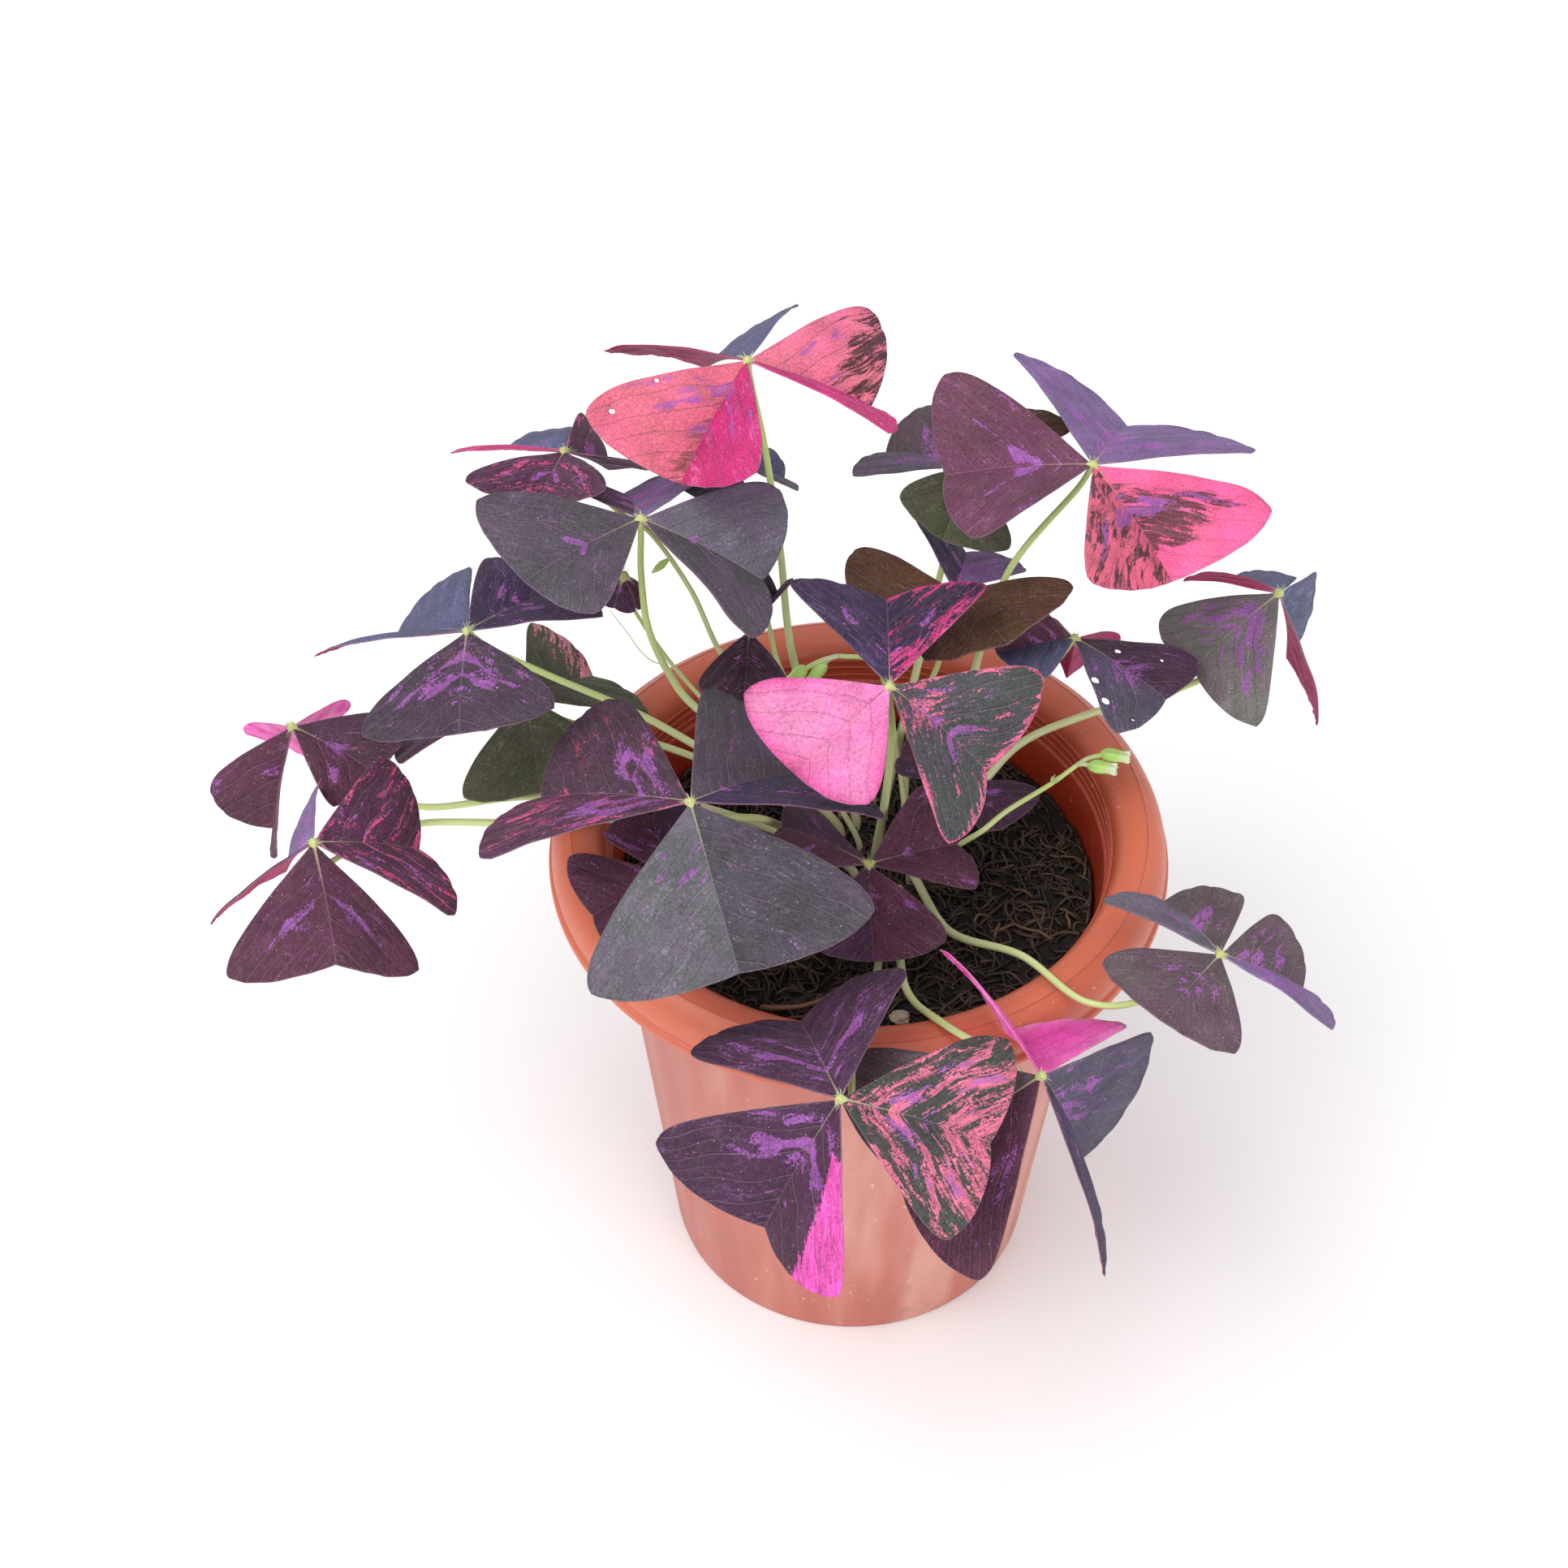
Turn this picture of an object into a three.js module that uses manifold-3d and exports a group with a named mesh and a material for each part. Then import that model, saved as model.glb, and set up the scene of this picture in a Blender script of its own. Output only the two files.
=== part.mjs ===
// Purple shamrock growing in a six-inch plastic pot.
// Millimetres, +Z up, origin at the centre of the pot's flat underside.
//
// The pot is a turned shell with drain holes. The soil is a plug inside it, with one plain hole
// for each stalk. Every leaf is three folded leaflets joined at a small hub, carried by a slender
// stalk that stands in its own hole. Two flower stalks carry the green cups of spent flowers.

import * as THREE from "three";
import { mergeVertices } from "three/addons/utils/BufferGeometryUtils.js";
import Module from "manifold-3d";

const wasm = await Module();
wasm.setup();

const DEG = Math.PI / 180;

// Pot.
const POT_HEIGHT = 142;
const RIM_RADIUS = 75;
const BASE_RADIUS = 45.5;
const NECK_RADIUS = 60.3;
const NECK_HEIGHT = 127;
const POT_WALL = 1.4;
const POT_FLOOR = 2.4;
const POT_SEGMENTS = 48;
const FLUTE_DEPTH = 0.35;
const FLUTE_FOOT = 8;
const DRAIN_HOLES = 6;
const DRAIN_RADIUS = 4;
const DRAIN_CIRCLE = 31;
const DRAIN_SIDES = 8;

// Soil.
const SOIL_HEIGHT = 120;
const SOIL_CLEARANCE = 0.4;
const SOIL_RELIEF = 1.1;
const SOIL_RINGS = 5;
const SOIL_SEGMENTS = 24;
const HOLE_DEPTH = 9;
const HOLE_CLEARANCE = 0.35;
const HOLE_SIDES = 6;

// Leaves.
const BLADE_THICKNESS = 0.6;
const HUB_RADIUS = 1.5;
const NECK_HALF_WIDTH = 0.5;
const NECK_START = 0.6;

// Stalks.
const STALK_TIP_RADIUS = 0.9;
const STALK_END_SHARE = 0.7;
const STALK_FOOT_RADIUS = 1.2;
const STALK_SIDES = 5;
const STALK_STEPS = 9;
const STALK_GAP = 0.6;
const STALK_BEND = 4.5;
const CLEAR_ANGLE = 56;
const CLEARING_TURNS = 20;
const FOOT_DEPTH = 6;
const FOOT_RISE = 3;

// Outline of half a leaflet, in midrib lengths: the side edge runs from the hub out to the lobe's
// corner, and the far edge runs from the notch at the midrib's end to the same corner.
const CORNER = [0.935, 0.784];
const SIDE_EDGE = [[0, 0], [0.375, 0.402], [0.858, 0.876], CORNER];
const FAR_EDGE = [[1, 0], [1.105, 0.333], [1.031, 0.668], CORNER];
const MIDRIB_ARCH = 0.04;
const WING_ARCH = 0.05;

// Grid lines of a leaflet: along the midrib, and across each wing from the midrib out.
const LARGE_LEAFLET = 25;
const LARGE_ALONG = [0, 0.4, 0.75, 0.93, 1];
const LARGE_ACROSS = [0, 0.5, 0.84, 1];
const SMALL_ALONG = [0, 0.5, 0.86, 1];
const SMALL_ACROSS = [0, 0.6, 1];

const COLOURS = {
  pot: 0xc8603f,
  soil: 0x211c19,
  purple: 0x453347,
  charcoal: 0x38313b,
  brown: 0x46302f,
  olive: 0x414430,
  pink: 0xe86a8c,
  stalk: 0xa9b070,
};

// Every leaf: its hub, the foot of its stalk on the soil, points that the stalk passes through,
// where it needs one the heading and pitch in which the stalk leaves the hub, and its leaflets. A
// leaflet is [heading, pitch, twist, fold, midrib length, width]: degrees counter-clockwise from
// +X, above level, about the midrib, and by which each wing drops below flat (a minus sign lifts
// the wings into a trough), then millimetres and a factor. A seventh number, where there is one,
// is the share of the usual bulge that the far edge has, and an eighth is the fold of the right
// wing, where it isn't that of the left one.
const LEAVES = [
  {
    name: "top_pink", colour: "pink", hub: [-29, 54.5, 240], foot: [-1, 20],
    via: [[-16.5, 37.5, 156], [-21, 45, 191], [-25, 50, 219]],
    leaflets: [
      [243, -23, 3, -31, 34, 1.03], [5, -28, -2, -23, 32.5, 1],
      [114, -41, 6, -14.5, 35.8, 0.96, 1, -23.5],
    ],
  },
  {
    name: "upper_right", colour: "purple", hub: [52, 38.5, 224.5], foot: [18.5, 22],
    via: [[26, 30, 160], [34, 32, 197]],
    leaflets: [[187, -1, -5, -13, 34, 1.04], [73, -25, 10, -11.5, 36.5, 1.15], [305, -20, -7, -21, 33.5, 1.14]],
  },
  {
    name: "upper_left", colour: "charcoal", hub: [-52, 16.5, 224], foot: [-5, 16],
    via: [[-42, 19.5, 162.5], [-45.5, 20, 168.5], [-51, 20, 185], [-52.5, 20, 203]],
    leaflets: [[221, 0, -4, -14, 32.5, 0.92], [357, -31, 5, -12, 32.5, 0.98], [102, -32, 5, -12, 34.5, 1.05]],
  },
  {
    name: "left_lilac", colour: "charcoal", hub: [-93, 11, 192], foot: [-9, 13],
    via: [[-48, 13, 160], [-76, 12, 178]],
    leaflets: [[271, -6, 14, -2, 30, 1.02], [46, -11, -9, -6, 27, 0.95], [140, -36, 5, -14, 31, 1.05]],
  },
  {
    name: "far_left_high", colour: "purple", hub: [-137, 11.5, 158], foot: [-9.5, 7],
    via: [[-52, 5, 144.5], [-82, 2.5, 145], [-107, 0, 143.5], [-121, 6, 146]],
    leaflets: [[246, -66, 32, -27, 27, 0.95], [335, -13, -4, -7, 23, 1], [84, -64.5, -21.5, -34.5, 22, 0.98]],
  },
  {
    name: "far_left_low", colour: "purple", hub: [-124.5, -42, 175], foot: [-6, 2],
    via: [[-50, -3.5, 144], [-84, -7.5, 146.5], [-105, -12, 150], [-117, -27, 158]],
    leaflets: [[285, -15, -16, 24, 31, 1.05], [34, -33, 16, -10, 31, 0.96], [127.5, -56, -25, -14, 28.5, 1.06]],
  },
  {
    name: "big_front_left", colour: "charcoal", hub: [-38, -44, 194], foot: [-1, 1],
    via: [[-19.5, -3, 143.5], [-28.5, -20, 164]],
    leaflets: [[288, -19, 12, -6, 42, 1.03], [158, -21, 5, -9, 40, 1.03], [50, -27, 4, -12, 39.5, 0.94]],
  },
  {
    name: "centre_pink", colour: "pink", hub: [6, -15.5, 204], foot: [4, 6],
    via: [[6, 0, 150], [7, -6, 180]],
    leaflets: [[227, -12, -16, -26, 30.5, 0.92], [347, -42, 19, -15, 31, 1.08], [92, -5, 1, -16, 31, 1, 0.2]],
  },
  {
    name: "soil_centre", colour: "purple", hub: [2.5, -15, 143.5], foot: [0, -4],
    via: [[0.5, -9, 131]],
    leaflets: [[274, -21, -3, -27, 24, 1.02], [22, -3, 9, -13, 22, 0.98], [165, 17, 19, 9, 22, 1]],
  },
  {
    name: "front_pot", colour: "pink", hub: [-2.5, -106, 166.5], foot: [5, -6],
    via: [[5.5, -31, 127], [3, -55.5, 142.5], [0, -80.5, 154]],
    leaflets: [[107, -19, -12, -9, 34.5, 1], [224, -50, -3, -19, 34, 1.17], [347, -7, 9, 1, 33.5, 1.03]],
  },
  {
    name: "front_right", colour: "purple", hub: [42, -91.5, 159], foot: [10, -4],
    via: [[12, -45.5, 134], [21, -66.5, 146], [36.5, -81.5, 150]],
    leaflets: [
      [104.5, -32, 41.5, -16.5, 33, 1.07, 1, -36], [27, -71, 40, -20, 38, 1.14],
      [205, -30, -13, -1, 39, 1.05],
    ],
  },
  {
    name: "far_right_low", colour: "purple", hub: [83.5, -51.5, 156], foot: [13, 1],
    via: [[22, -21.5, 128], [39, -40.5, 141], [53.5, -58.5, 146], [63.5, -58.5, 146]],
    leaflets: [[235, 1, -10, -7, 24.5, 1], [10, -35, -7, -10, 25, 1.03], [118, -14, 18, -5, 25, 1]],
  },
  {
    name: "far_right_high", colour: "charcoal", hub: [99.5, 43, 181], foot: [21, 10], leave: [200, -70],
    via: [[37, 24, 144], [53.5, 30, 150], [78, 37, 154], [92, 40.5, 162]],
    leaflets: [
      [211, -32, -3, 16, 27, 1.05], [54, -73.5, 56.5, -17.5, 29, 1.02],
      [115, -30, -12.5, -22.5, 23.2, 0.86, 1, 31],
    ],
  },
  {
    name: "right_holed", colour: "purple", hub: [50, 26.5, 180], foot: [19.5, 16.5],
    via: [[29, 22, 147], [43, 25, 168]],
    leaflets: [[326, -11, -11, 4, 26, 1], [208, 11, -19, -28, 21, 0.93], [94, -69, 18, -50, 22, 0.94]],
  },
  {
    name: "back_right", colour: "brown", hub: [23.5, 56.5, 207], foot: [6, 23],
    via: [[13, 37.5, 157.5], [19, 53, 181]],
    leaflets: [[151, -14, 5, -9, 22.5, 1.03], [255, -13, -24, -20, 21.5, 0.95], [59, 4, 0, -8, 22, 1]],
  },
  {
    name: "back_brown", colour: "brown", hub: [21, 29, 192], foot: [11, 18.5],
    via: [[12, 32, 142], [18, 25.5, 172]],
    leaflets: [[186, -8, 15, -17, 23.5, 1], [299, 10, 8, -12, 25, 1.08], [82, -18, 20, -11, 22, 0.9]],
  },
  {
    name: "left_olive", colour: "olive", hub: [-81.5, 23, 158.5], foot: [-8.5, 18.5],
    via: [[-46, 19, 146], [-68, 23, 149]],
    leaflets: [[282, -14, 11, -4, 26, 0.94], [53, -25, 10, -5, 26.5, 1], [176, -27, 21, 1, 29, 1]],
  },
  {
    name: "back_left", colour: "purple", hub: [-71.5, 44, 219.5], foot: [-5, 23],
    via: [[-33.5, 28, 168], [-42, 32, 188], [-52, 37.5, 201], [-60, 45, 200.5], [-68.5, 50, 207]],
    leaflets: [[140, -29, 19, -5, 22.5, 1.03], [257, 5, 8, -15, 22.5, 1.03], [49, -46, 4, -25, 20, 0.96]],
  },
  {
    name: "pot_back", colour: "purple", hub: [-27.5, 26, 180], foot: [0, 11],
    via: [[-12, 17, 145], [-23, 24, 168]],
    leaflets: [[268, -20, 0, -15, 18, 0.82], [62, 8, 0, -55, 13, 1], [122, 8, 0, -55, 13, 1]],
  },
  {
    name: "pot_left", colour: "purple", hub: [-44, -32.5, 157], foot: [-4, -2],
    via: [[-20, -15, 138]],
    leaflets: [[207, -15, -9, -9, 19.5, 1.03], [106, 6, -15, -2, 17.5, 0.9], [335, -17, 0, -8, 18.5, 1]],
  },
  {
    name: "pot_right", colour: "purple", hub: [21.5, 16, 139.5], foot: [9, 8],
    via: [[14, 12, 130]],
    leaflets: [[326, -5, -18, -10, 18.5, 1], [161, 21, 10, -10, 13, 0.9], [95, 5, 0, -60, 8, 0.9]],
  },
  {
    name: "young_left", colour: "purple", hub: [-57, 26, 197], foot: [-12, 21],
    via: [[-38.5, 24, 158], [-48, 26, 171.5]],
    leaflets: [[5, -50, 0, 30, 7.5, 0.9], [125, -50, 0, 30, 7.5, 0.9], [245, -50, 0, 30, 7.5, 0.9]],
  },
  {
    name: "behind_top", colour: "purple", hub: [-31.5, 57, 205.5], foot: [3, 28],
    via: [[-20, 46, 146], [-23.5, 51, 157]],
    leaflets: [[14, -32, -10, -11, 13, 1], [241, -7, 0, -8, 13.5, 1], [122, -8, 0, -8, 13.5, 1]],
  },
];

// Flower stalks: route above the soil, and each spent flower's cup as [base, heading, pitch].
const FLOWER_STALKS = [
  {
    name: "flower_stalk_right", foot: [18.5, 2],
    via: [[21.5, -2, 134], [24.5, -6, 142], [29.5, -7.5, 148.5], [34.5, -3.5, 150.5], [46.5, 9, 148.5]],
    tip: [52, 12.5, 151],
    cups: [{ base: [57.5, 14.5, 153], heading: -12, pitch: 4 }, { base: [54.5, 11.5, 152], heading: -18, pitch: 8 }],
  },
  {
    name: "flower_stalk_back", foot: [12, 12],
    via: [[8, 27.5, 144.5], [2, 31, 166]],
    tip: [-6, 32, 166.5],
    cups: [{ base: [-9.5, 32, 164.5], heading: 200, pitch: -60 }, { base: [-14, 31.5, 163], heading: 190, pitch: -50 }],
  },
];

const CUP_LENGTH = 6;
const CUP_RADIUS = 1.6;
const CUP_SIDES = 6;

// ---------------------------------------------------------------- geometry helpers

// A closed, welded, outward-facing copy of a geometry.
function closedGeometry(source) {
  const bare = new THREE.BufferGeometry();
  bare.setAttribute("position", source.getAttribute("position"));
  if (source.index) bare.setIndex(source.index);
  const welded = mergeVertices(bare, 1e-4);
  const position = welded.getAttribute("position");
  const index = welded.index.array;
  const a = new THREE.Vector3();
  const b = new THREE.Vector3();
  const c = new THREE.Vector3();
  const kept = [];
  let volume = 0;
  for (let i = 0; i < index.length; i += 3) {
    const [p, q, r] = [index[i], index[i + 1], index[i + 2]];
    if (p === q || q === r || r === p) continue;
    kept.push(p, q, r);
    a.fromBufferAttribute(position, p);
    b.fromBufferAttribute(position, q);
    c.fromBufferAttribute(position, r);
    volume += a.dot(b.cross(c));
  }
  if (volume < 0) {
    for (let i = 0; i < kept.length; i += 3) [kept[i + 1], kept[i + 2]] = [kept[i + 2], kept[i + 1]];
  }
  welded.setIndex(kept);
  return welded;
}

function toSolid(source) {
  const geometry = closedGeometry(source);
  const mesh = new wasm.Mesh({
    numProp: 3,
    vertProperties: new Float32Array(geometry.getAttribute("position").array),
    triVerts: new Uint32Array(geometry.index.array),
  });
  return new wasm.Manifold(mesh);
}

function fromSolid(solid) {
  const mesh = solid.getMesh();
  const geometry = new THREE.BufferGeometry();
  geometry.setAttribute("position", new THREE.BufferAttribute(new Float32Array(mesh.vertProperties), 3));
  geometry.setIndex(new THREE.BufferAttribute(new Uint32Array(mesh.triVerts), 1));
  return geometry;
}

function joined(geometries) {
  return fromSolid(geometries.map(toSolid).reduce((all, next) => all.add(next)));
}

// A closed geometry from points and faces, where a face is a loop of point numbers.
function fromFaces(points, faces) {
  const geometry = new THREE.BufferGeometry();
  geometry.setFromPoints(points);
  const index = [];
  for (const face of faces) {
    for (let i = 1; i + 1 < face.length; i += 1) index.push(face[0], face[i], face[i + 1]);
  }
  geometry.setIndex(index);
  return geometry;
}

// A tapered tube along a polyline, closed at both ends.
function taperedTube(points, footRadius, tipRadius, sides) {
  const last = points.length - 1;
  const lengths = [0];
  for (let i = 1; i <= last; i += 1) lengths.push(lengths[i - 1] + points[i].distanceTo(points[i - 1]));
  const ringPoints = [];
  const side = new THREE.Vector3(1, 0, 0);
  for (let i = 0; i <= last; i += 1) {
    const before = points[Math.max(0, i - 1)];
    const after = points[Math.min(last, i + 1)];
    const tangent = after.clone().sub(before).normalize();
    side.addScaledVector(tangent, -side.dot(tangent)).normalize();
    const other = new THREE.Vector3().crossVectors(tangent, side);
    let radius = THREE.MathUtils.lerp(footRadius, tipRadius, lengths[i] / lengths[last]);
    if (i === last) radius *= STALK_END_SHARE;
    for (let k = 0; k < sides; k += 1) {
      const angle = (2 * Math.PI * k) / sides;
      const point = points[i].clone();
      point.addScaledVector(side, radius * Math.cos(angle));
      point.addScaledVector(other, radius * Math.sin(angle));
      ringPoints.push(point);
    }
  }
  const faces = [];
  for (let i = 0; i < last; i += 1) {
    for (let k = 0; k < sides; k += 1) {
      const next = (k + 1) % sides;
      faces.push([i * sides + k, i * sides + next, (i + 1) * sides + next, (i + 1) * sides + k]);
    }
  }
  const around = Array.from({ length: sides }, (_, k) => k);
  faces.push(around.slice().reverse());
  faces.push(around.map((k) => last * sides + k));
  return fromFaces(ringPoints, faces);
}

function bezier(handles, t) {
  const s = 1 - t;
  const weights = [s * s * s, 3 * s * s * t, 3 * s * t * t, t * t * t];
  const x = handles.reduce((sum, handle, i) => sum + weights[i] * handle[0], 0);
  const y = handles.reduce((sum, handle, i) => sum + weights[i] * handle[1], 0);
  return [x, y];
}

// ---------------------------------------------------------------- pot and soil

function innerRadius(z) {
  return THREE.MathUtils.lerp(BASE_RADIUS, NECK_RADIUS, z / NECK_HEIGHT) - POT_WALL;
}

// Outside of the wall, the hollow collar with its bead lip, the rounded crest, and the inside
// wall with its two fine steps.
function potProfile() {
  const crest = POT_HEIGHT;
  return [
    [0, 0],
    [BASE_RADIUS - 1, 0],
    [BASE_RADIUS, 1.2],
    [NECK_RADIUS, NECK_HEIGHT],
    [NECK_RADIUS + 1.3, crest - 7.6],
    [NECK_RADIUS + 4.6, crest - 2.6],
    [RIM_RADIUS - 5.2, crest - 2],
    [RIM_RADIUS - 2.4, crest - 6],
    [RIM_RADIUS - 1.8, crest - 12],
    [RIM_RADIUS, crest - 11.8],
    [RIM_RADIUS, crest - 10.4],
    [RIM_RADIUS - 0.8, crest - 9.6],
    [RIM_RADIUS - 0.8, crest - 7],
    [RIM_RADIUS - 2.6, crest - 2.6],
    [RIM_RADIUS - 7, crest],
    [RIM_RADIUS - 10.2, crest - 0.5],
    [RIM_RADIUS - 12.6, crest - 2.2],
    [NECK_RADIUS + 0.7, crest - 5.4],
    [NECK_RADIUS + 0.2, crest - 8.6],
    [NECK_RADIUS - 0.6, crest - 11.6],
    [innerRadius(NECK_HEIGHT), NECK_HEIGHT],
    [innerRadius(POT_FLOOR) - 0.9, POT_FLOOR],
    [0, POT_FLOOR],
  ].map(([radius, height]) => new THREE.Vector2(radius, height));
}

function makePot() {
  const turned = new THREE.LatheGeometry(potProfile(), POT_SEGMENTS);
  turned.rotateX(90 * DEG);
  const geometry = closedGeometry(turned);
  const position = geometry.getAttribute("position");
  const fluteStep = (2 * Math.PI) / POT_SEGMENTS;
  for (let i = 0; i < position.count; i += 1) {
    const x = position.getX(i);
    const y = position.getY(i);
    const z = position.getZ(i);
    const radius = Math.hypot(x, y);
    const column = Math.round(Math.atan2(y, x) / fluteStep);
    const onOutside = radius > innerRadius(z) + POT_WALL / 2 && z <= NECK_HEIGHT;
    if (!onOutside || column % 2 === 0) continue;
    const depth = z < FLUTE_FOOT ? FLUTE_DEPTH * 0.5 : FLUTE_DEPTH;
    const shrink = (radius - depth) / radius;
    position.setXY(i, x * shrink, y * shrink);
  }
  let solid = toSolid(geometry);
  for (let i = 0; i < DRAIN_HOLES; i += 1) {
    const angle = (2 * Math.PI * i) / DRAIN_HOLES;
    const drill = new THREE.CylinderGeometry(DRAIN_RADIUS, DRAIN_RADIUS, POT_FLOOR * 3, DRAIN_SIDES);
    drill.rotateX(90 * DEG);
    drill.translate(DRAIN_CIRCLE * Math.cos(angle), DRAIN_CIRCLE * Math.sin(angle), POT_FLOOR / 2);
    solid = solid.subtract(toSolid(drill));
  }
  return fromSolid(solid);
}

// Height of the loose, fibrous soil at a point.
function soilHeight(x, y) {
  const broad = Math.sin(x * 0.13 + 1.1) * Math.cos(y * 0.11 - 0.4);
  const fine = Math.sin(x * 0.47 + y * 0.21) * Math.sin(y * 0.53 - x * 0.17 + 2);
  return SOIL_HEIGHT + SOIL_RELIEF * (0.7 * broad + 0.6 * fine);
}

function makeSoil() {
  const bottom = POT_FLOOR + SOIL_CLEARANCE;
  const bottomRadius = innerRadius(bottom) - 1 - SOIL_CLEARANCE;
  const topRadius = innerRadius(SOIL_HEIGHT - 2 * SOIL_RELIEF) - SOIL_CLEARANCE * 1.6;
  const points = [new THREE.Vector3(0, 0, bottom), new THREE.Vector3(0, 0, soilHeight(0, 0))];
  const rings = [[bottomRadius, () => bottom]];
  for (let ring = 0; ring < SOIL_RINGS; ring += 1) {
    rings.push([topRadius * (1 - ring / SOIL_RINGS), soilHeight]);
  }
  for (const [radius, height] of rings) {
    for (let i = 0; i < SOIL_SEGMENTS; i += 1) {
      const angle = (2 * Math.PI * i) / SOIL_SEGMENTS;
      const x = radius * Math.cos(angle);
      const y = radius * Math.sin(angle);
      points.push(new THREE.Vector3(x, y, height(x, y)));
    }
  }
  const faces = [];
  const at = (ring, i) => 2 + ring * SOIL_SEGMENTS + (i % SOIL_SEGMENTS);
  for (let i = 0; i < SOIL_SEGMENTS; i += 1) {
    faces.push([0, at(0, i + 1), at(0, i)]);
    for (let ring = 0; ring + 1 < rings.length; ring += 1) {
      faces.push([at(ring, i), at(ring, i + 1), at(ring + 1, i + 1), at(ring + 1, i)]);
    }
    faces.push([at(rings.length - 1, i), at(rings.length - 1, i + 1), 1]);
  }
  let solid = toSolid(fromFaces(points, faces));
  const holeRadius = (STALK_FOOT_RADIUS + HOLE_CLEARANCE) / Math.cos(Math.PI / HOLE_SIDES);
  for (const { foot: [x, y] } of [...LEAVES, ...FLOWER_STALKS]) {
    const drill = new THREE.CylinderGeometry(holeRadius, holeRadius, 2 * HOLE_DEPTH, HOLE_SIDES);
    drill.rotateX(90 * DEG);
    drill.translate(x, y, SOIL_HEIGHT);
    solid = solid.subtract(toSolid(drill));
  }
  return fromSolid(solid);
}

// ---------------------------------------------------------------- leaves

// The frame of a leaflet: along its midrib, across to its left wing, and out of its upper face.
function leafletFrame([heading, pitch, twist]) {
  const h = heading * DEG;
  const p = pitch * DEG;
  const t = twist * DEG;
  const along = new THREE.Vector3(Math.cos(p) * Math.cos(h), Math.cos(p) * Math.sin(h), Math.sin(p));
  const level = new THREE.Vector3(-Math.sin(h), Math.cos(h), 0);
  const up = new THREE.Vector3().crossVectors(along, level);
  const across = level.clone().multiplyScalar(Math.cos(t)).addScaledVector(up, Math.sin(t));
  const normal = new THREE.Vector3().crossVectors(along, across);
  return { along, across, normal };
}

// A point of the folded, gently arched leaflet. u runs from the hub to the far edge, v from the
// midrib (0) to the side edge (1), and side is 1 for the left wing and -1 for the right one.
function leafletPoint(leaflet, frame, side, u, v) {
  const [, , , leftFold, length, width, bulge = 1, rightFold = leftFold] = leaflet;
  const edge = bezier(SIDE_EDGE, u);
  const far = bezier(FAR_EDGE, v);
  far[0] = THREE.MathUtils.lerp(1 - v + v * CORNER[0], far[0], bulge);
  const x = (1 - v) * u + v * edge[0] + u * (far[0] - (1 - v) - v * CORNER[0]);
  const y = v * edge[1] + u * (far[1] - v * CORNER[1]);
  const reach = x * length + NECK_START;
  const spread = y * length * width + NECK_HALF_WIDTH * v * (1 - u);
  const share = Math.min(1, y / CORNER[1]);
  const lift = length * (MIDRIB_ARCH * Math.sin(Math.PI * Math.min(1, x)) + WING_ARCH * 4 * share * (1 - share) * u);
  const drop = (side > 0 ? leftFold : rightFold) * DEG;
  const point = frame.along.clone().multiplyScalar(reach);
  point.addScaledVector(frame.across, side * spread * Math.cos(drop));
  point.addScaledVector(frame.normal, lift - spread * Math.sin(drop));
  return point;
}

// Unit normal of one wing's upper face.
function wingNormal(leaflet, frame, side, u, v) {
  const step = 0.02;
  const u0 = Math.max(step, Math.min(1 - step, u));
  const v0 = Math.max(step, Math.min(1 - step, v));
  const alongStep = leafletPoint(leaflet, frame, side, u0 + step, v0);
  alongStep.sub(leafletPoint(leaflet, frame, side, u0 - step, v0));
  const acrossStep = leafletPoint(leaflet, frame, side, u0, v0 + step);
  acrossStep.sub(leafletPoint(leaflet, frame, side, u0, v0 - step));
  return alongStep.cross(acrossStep).multiplyScalar(side).normalize();
}

// One leaflet as a closed sheet of even thickness, mitred along the fold.
function makeLeaflet(leaflet) {
  const frame = leafletFrame(leaflet);
  const isLarge = leaflet[4] >= LARGE_LEAFLET;
  const rows = isLarge ? LARGE_ALONG : SMALL_ALONG;
  const across = isLarge ? LARGE_ACROSS : SMALL_ACROSS;
  const columns = [];
  for (let j = across.length - 1; j > 0; j -= 1) columns.push([-1, across[j]]);
  for (const v of across) columns.push([1, v]);
  const count = columns.length;
  const upper = [];
  const lower = [];
  for (const u of rows) {
    for (const [side, v] of columns) {
      const point = leafletPoint(leaflet, frame, side, u, v);
      const offset = wingNormal(leaflet, frame, side, u, v);
      if (v === 0) {
        const other = wingNormal(leaflet, frame, -side, u, v);
        const bisector = offset.clone().add(other).normalize();
        const spread = Math.max(0.5, bisector.dot(offset));
        offset.copy(bisector).divideScalar(spread);
      }
      offset.multiplyScalar(BLADE_THICKNESS / 2);
      upper.push(point.clone().add(offset));
      lower.push(point.clone().sub(offset));
    }
  }
  const faces = [];
  const base = upper.length;
  const quad = (a, b, c, d) => {
    faces.push([a, b, c], [a, c, d]);
    faces.push([base + a, base + c, base + b], [base + a, base + d, base + c]);
  };
  for (let i = 0; i + 1 < rows.length; i += 1) {
    for (let j = 0; j + 1 < count; j += 1) {
      const a = i * count + j;
      quad(a, a + count, a + count + 1, a + 1);
    }
  }
  const rim = [];
  for (let j = 0; j < count; j += 1) rim.push(j);
  for (let i = 1; i < rows.length; i += 1) rim.push(i * count + count - 1);
  for (let j = count - 2; j >= 0; j -= 1) rim.push((rows.length - 1) * count + j);
  for (let i = rows.length - 2; i > 0; i -= 1) rim.push(i * count);
  for (let k = 0; k < rim.length; k += 1) {
    const a = rim[k];
    const b = rim[(k + 1) % rim.length];
    faces.push([a, b, base + b], [a, base + b, base + a]);
  }
  return fromFaces([...upper, ...lower], faces);
}

function makeBlade(leaf) {
  const hub = new THREE.IcosahedronGeometry(HUB_RADIUS, 0);
  return joined([hub, ...leaf.leaflets.map(makeLeaflet)]);
}

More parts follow.
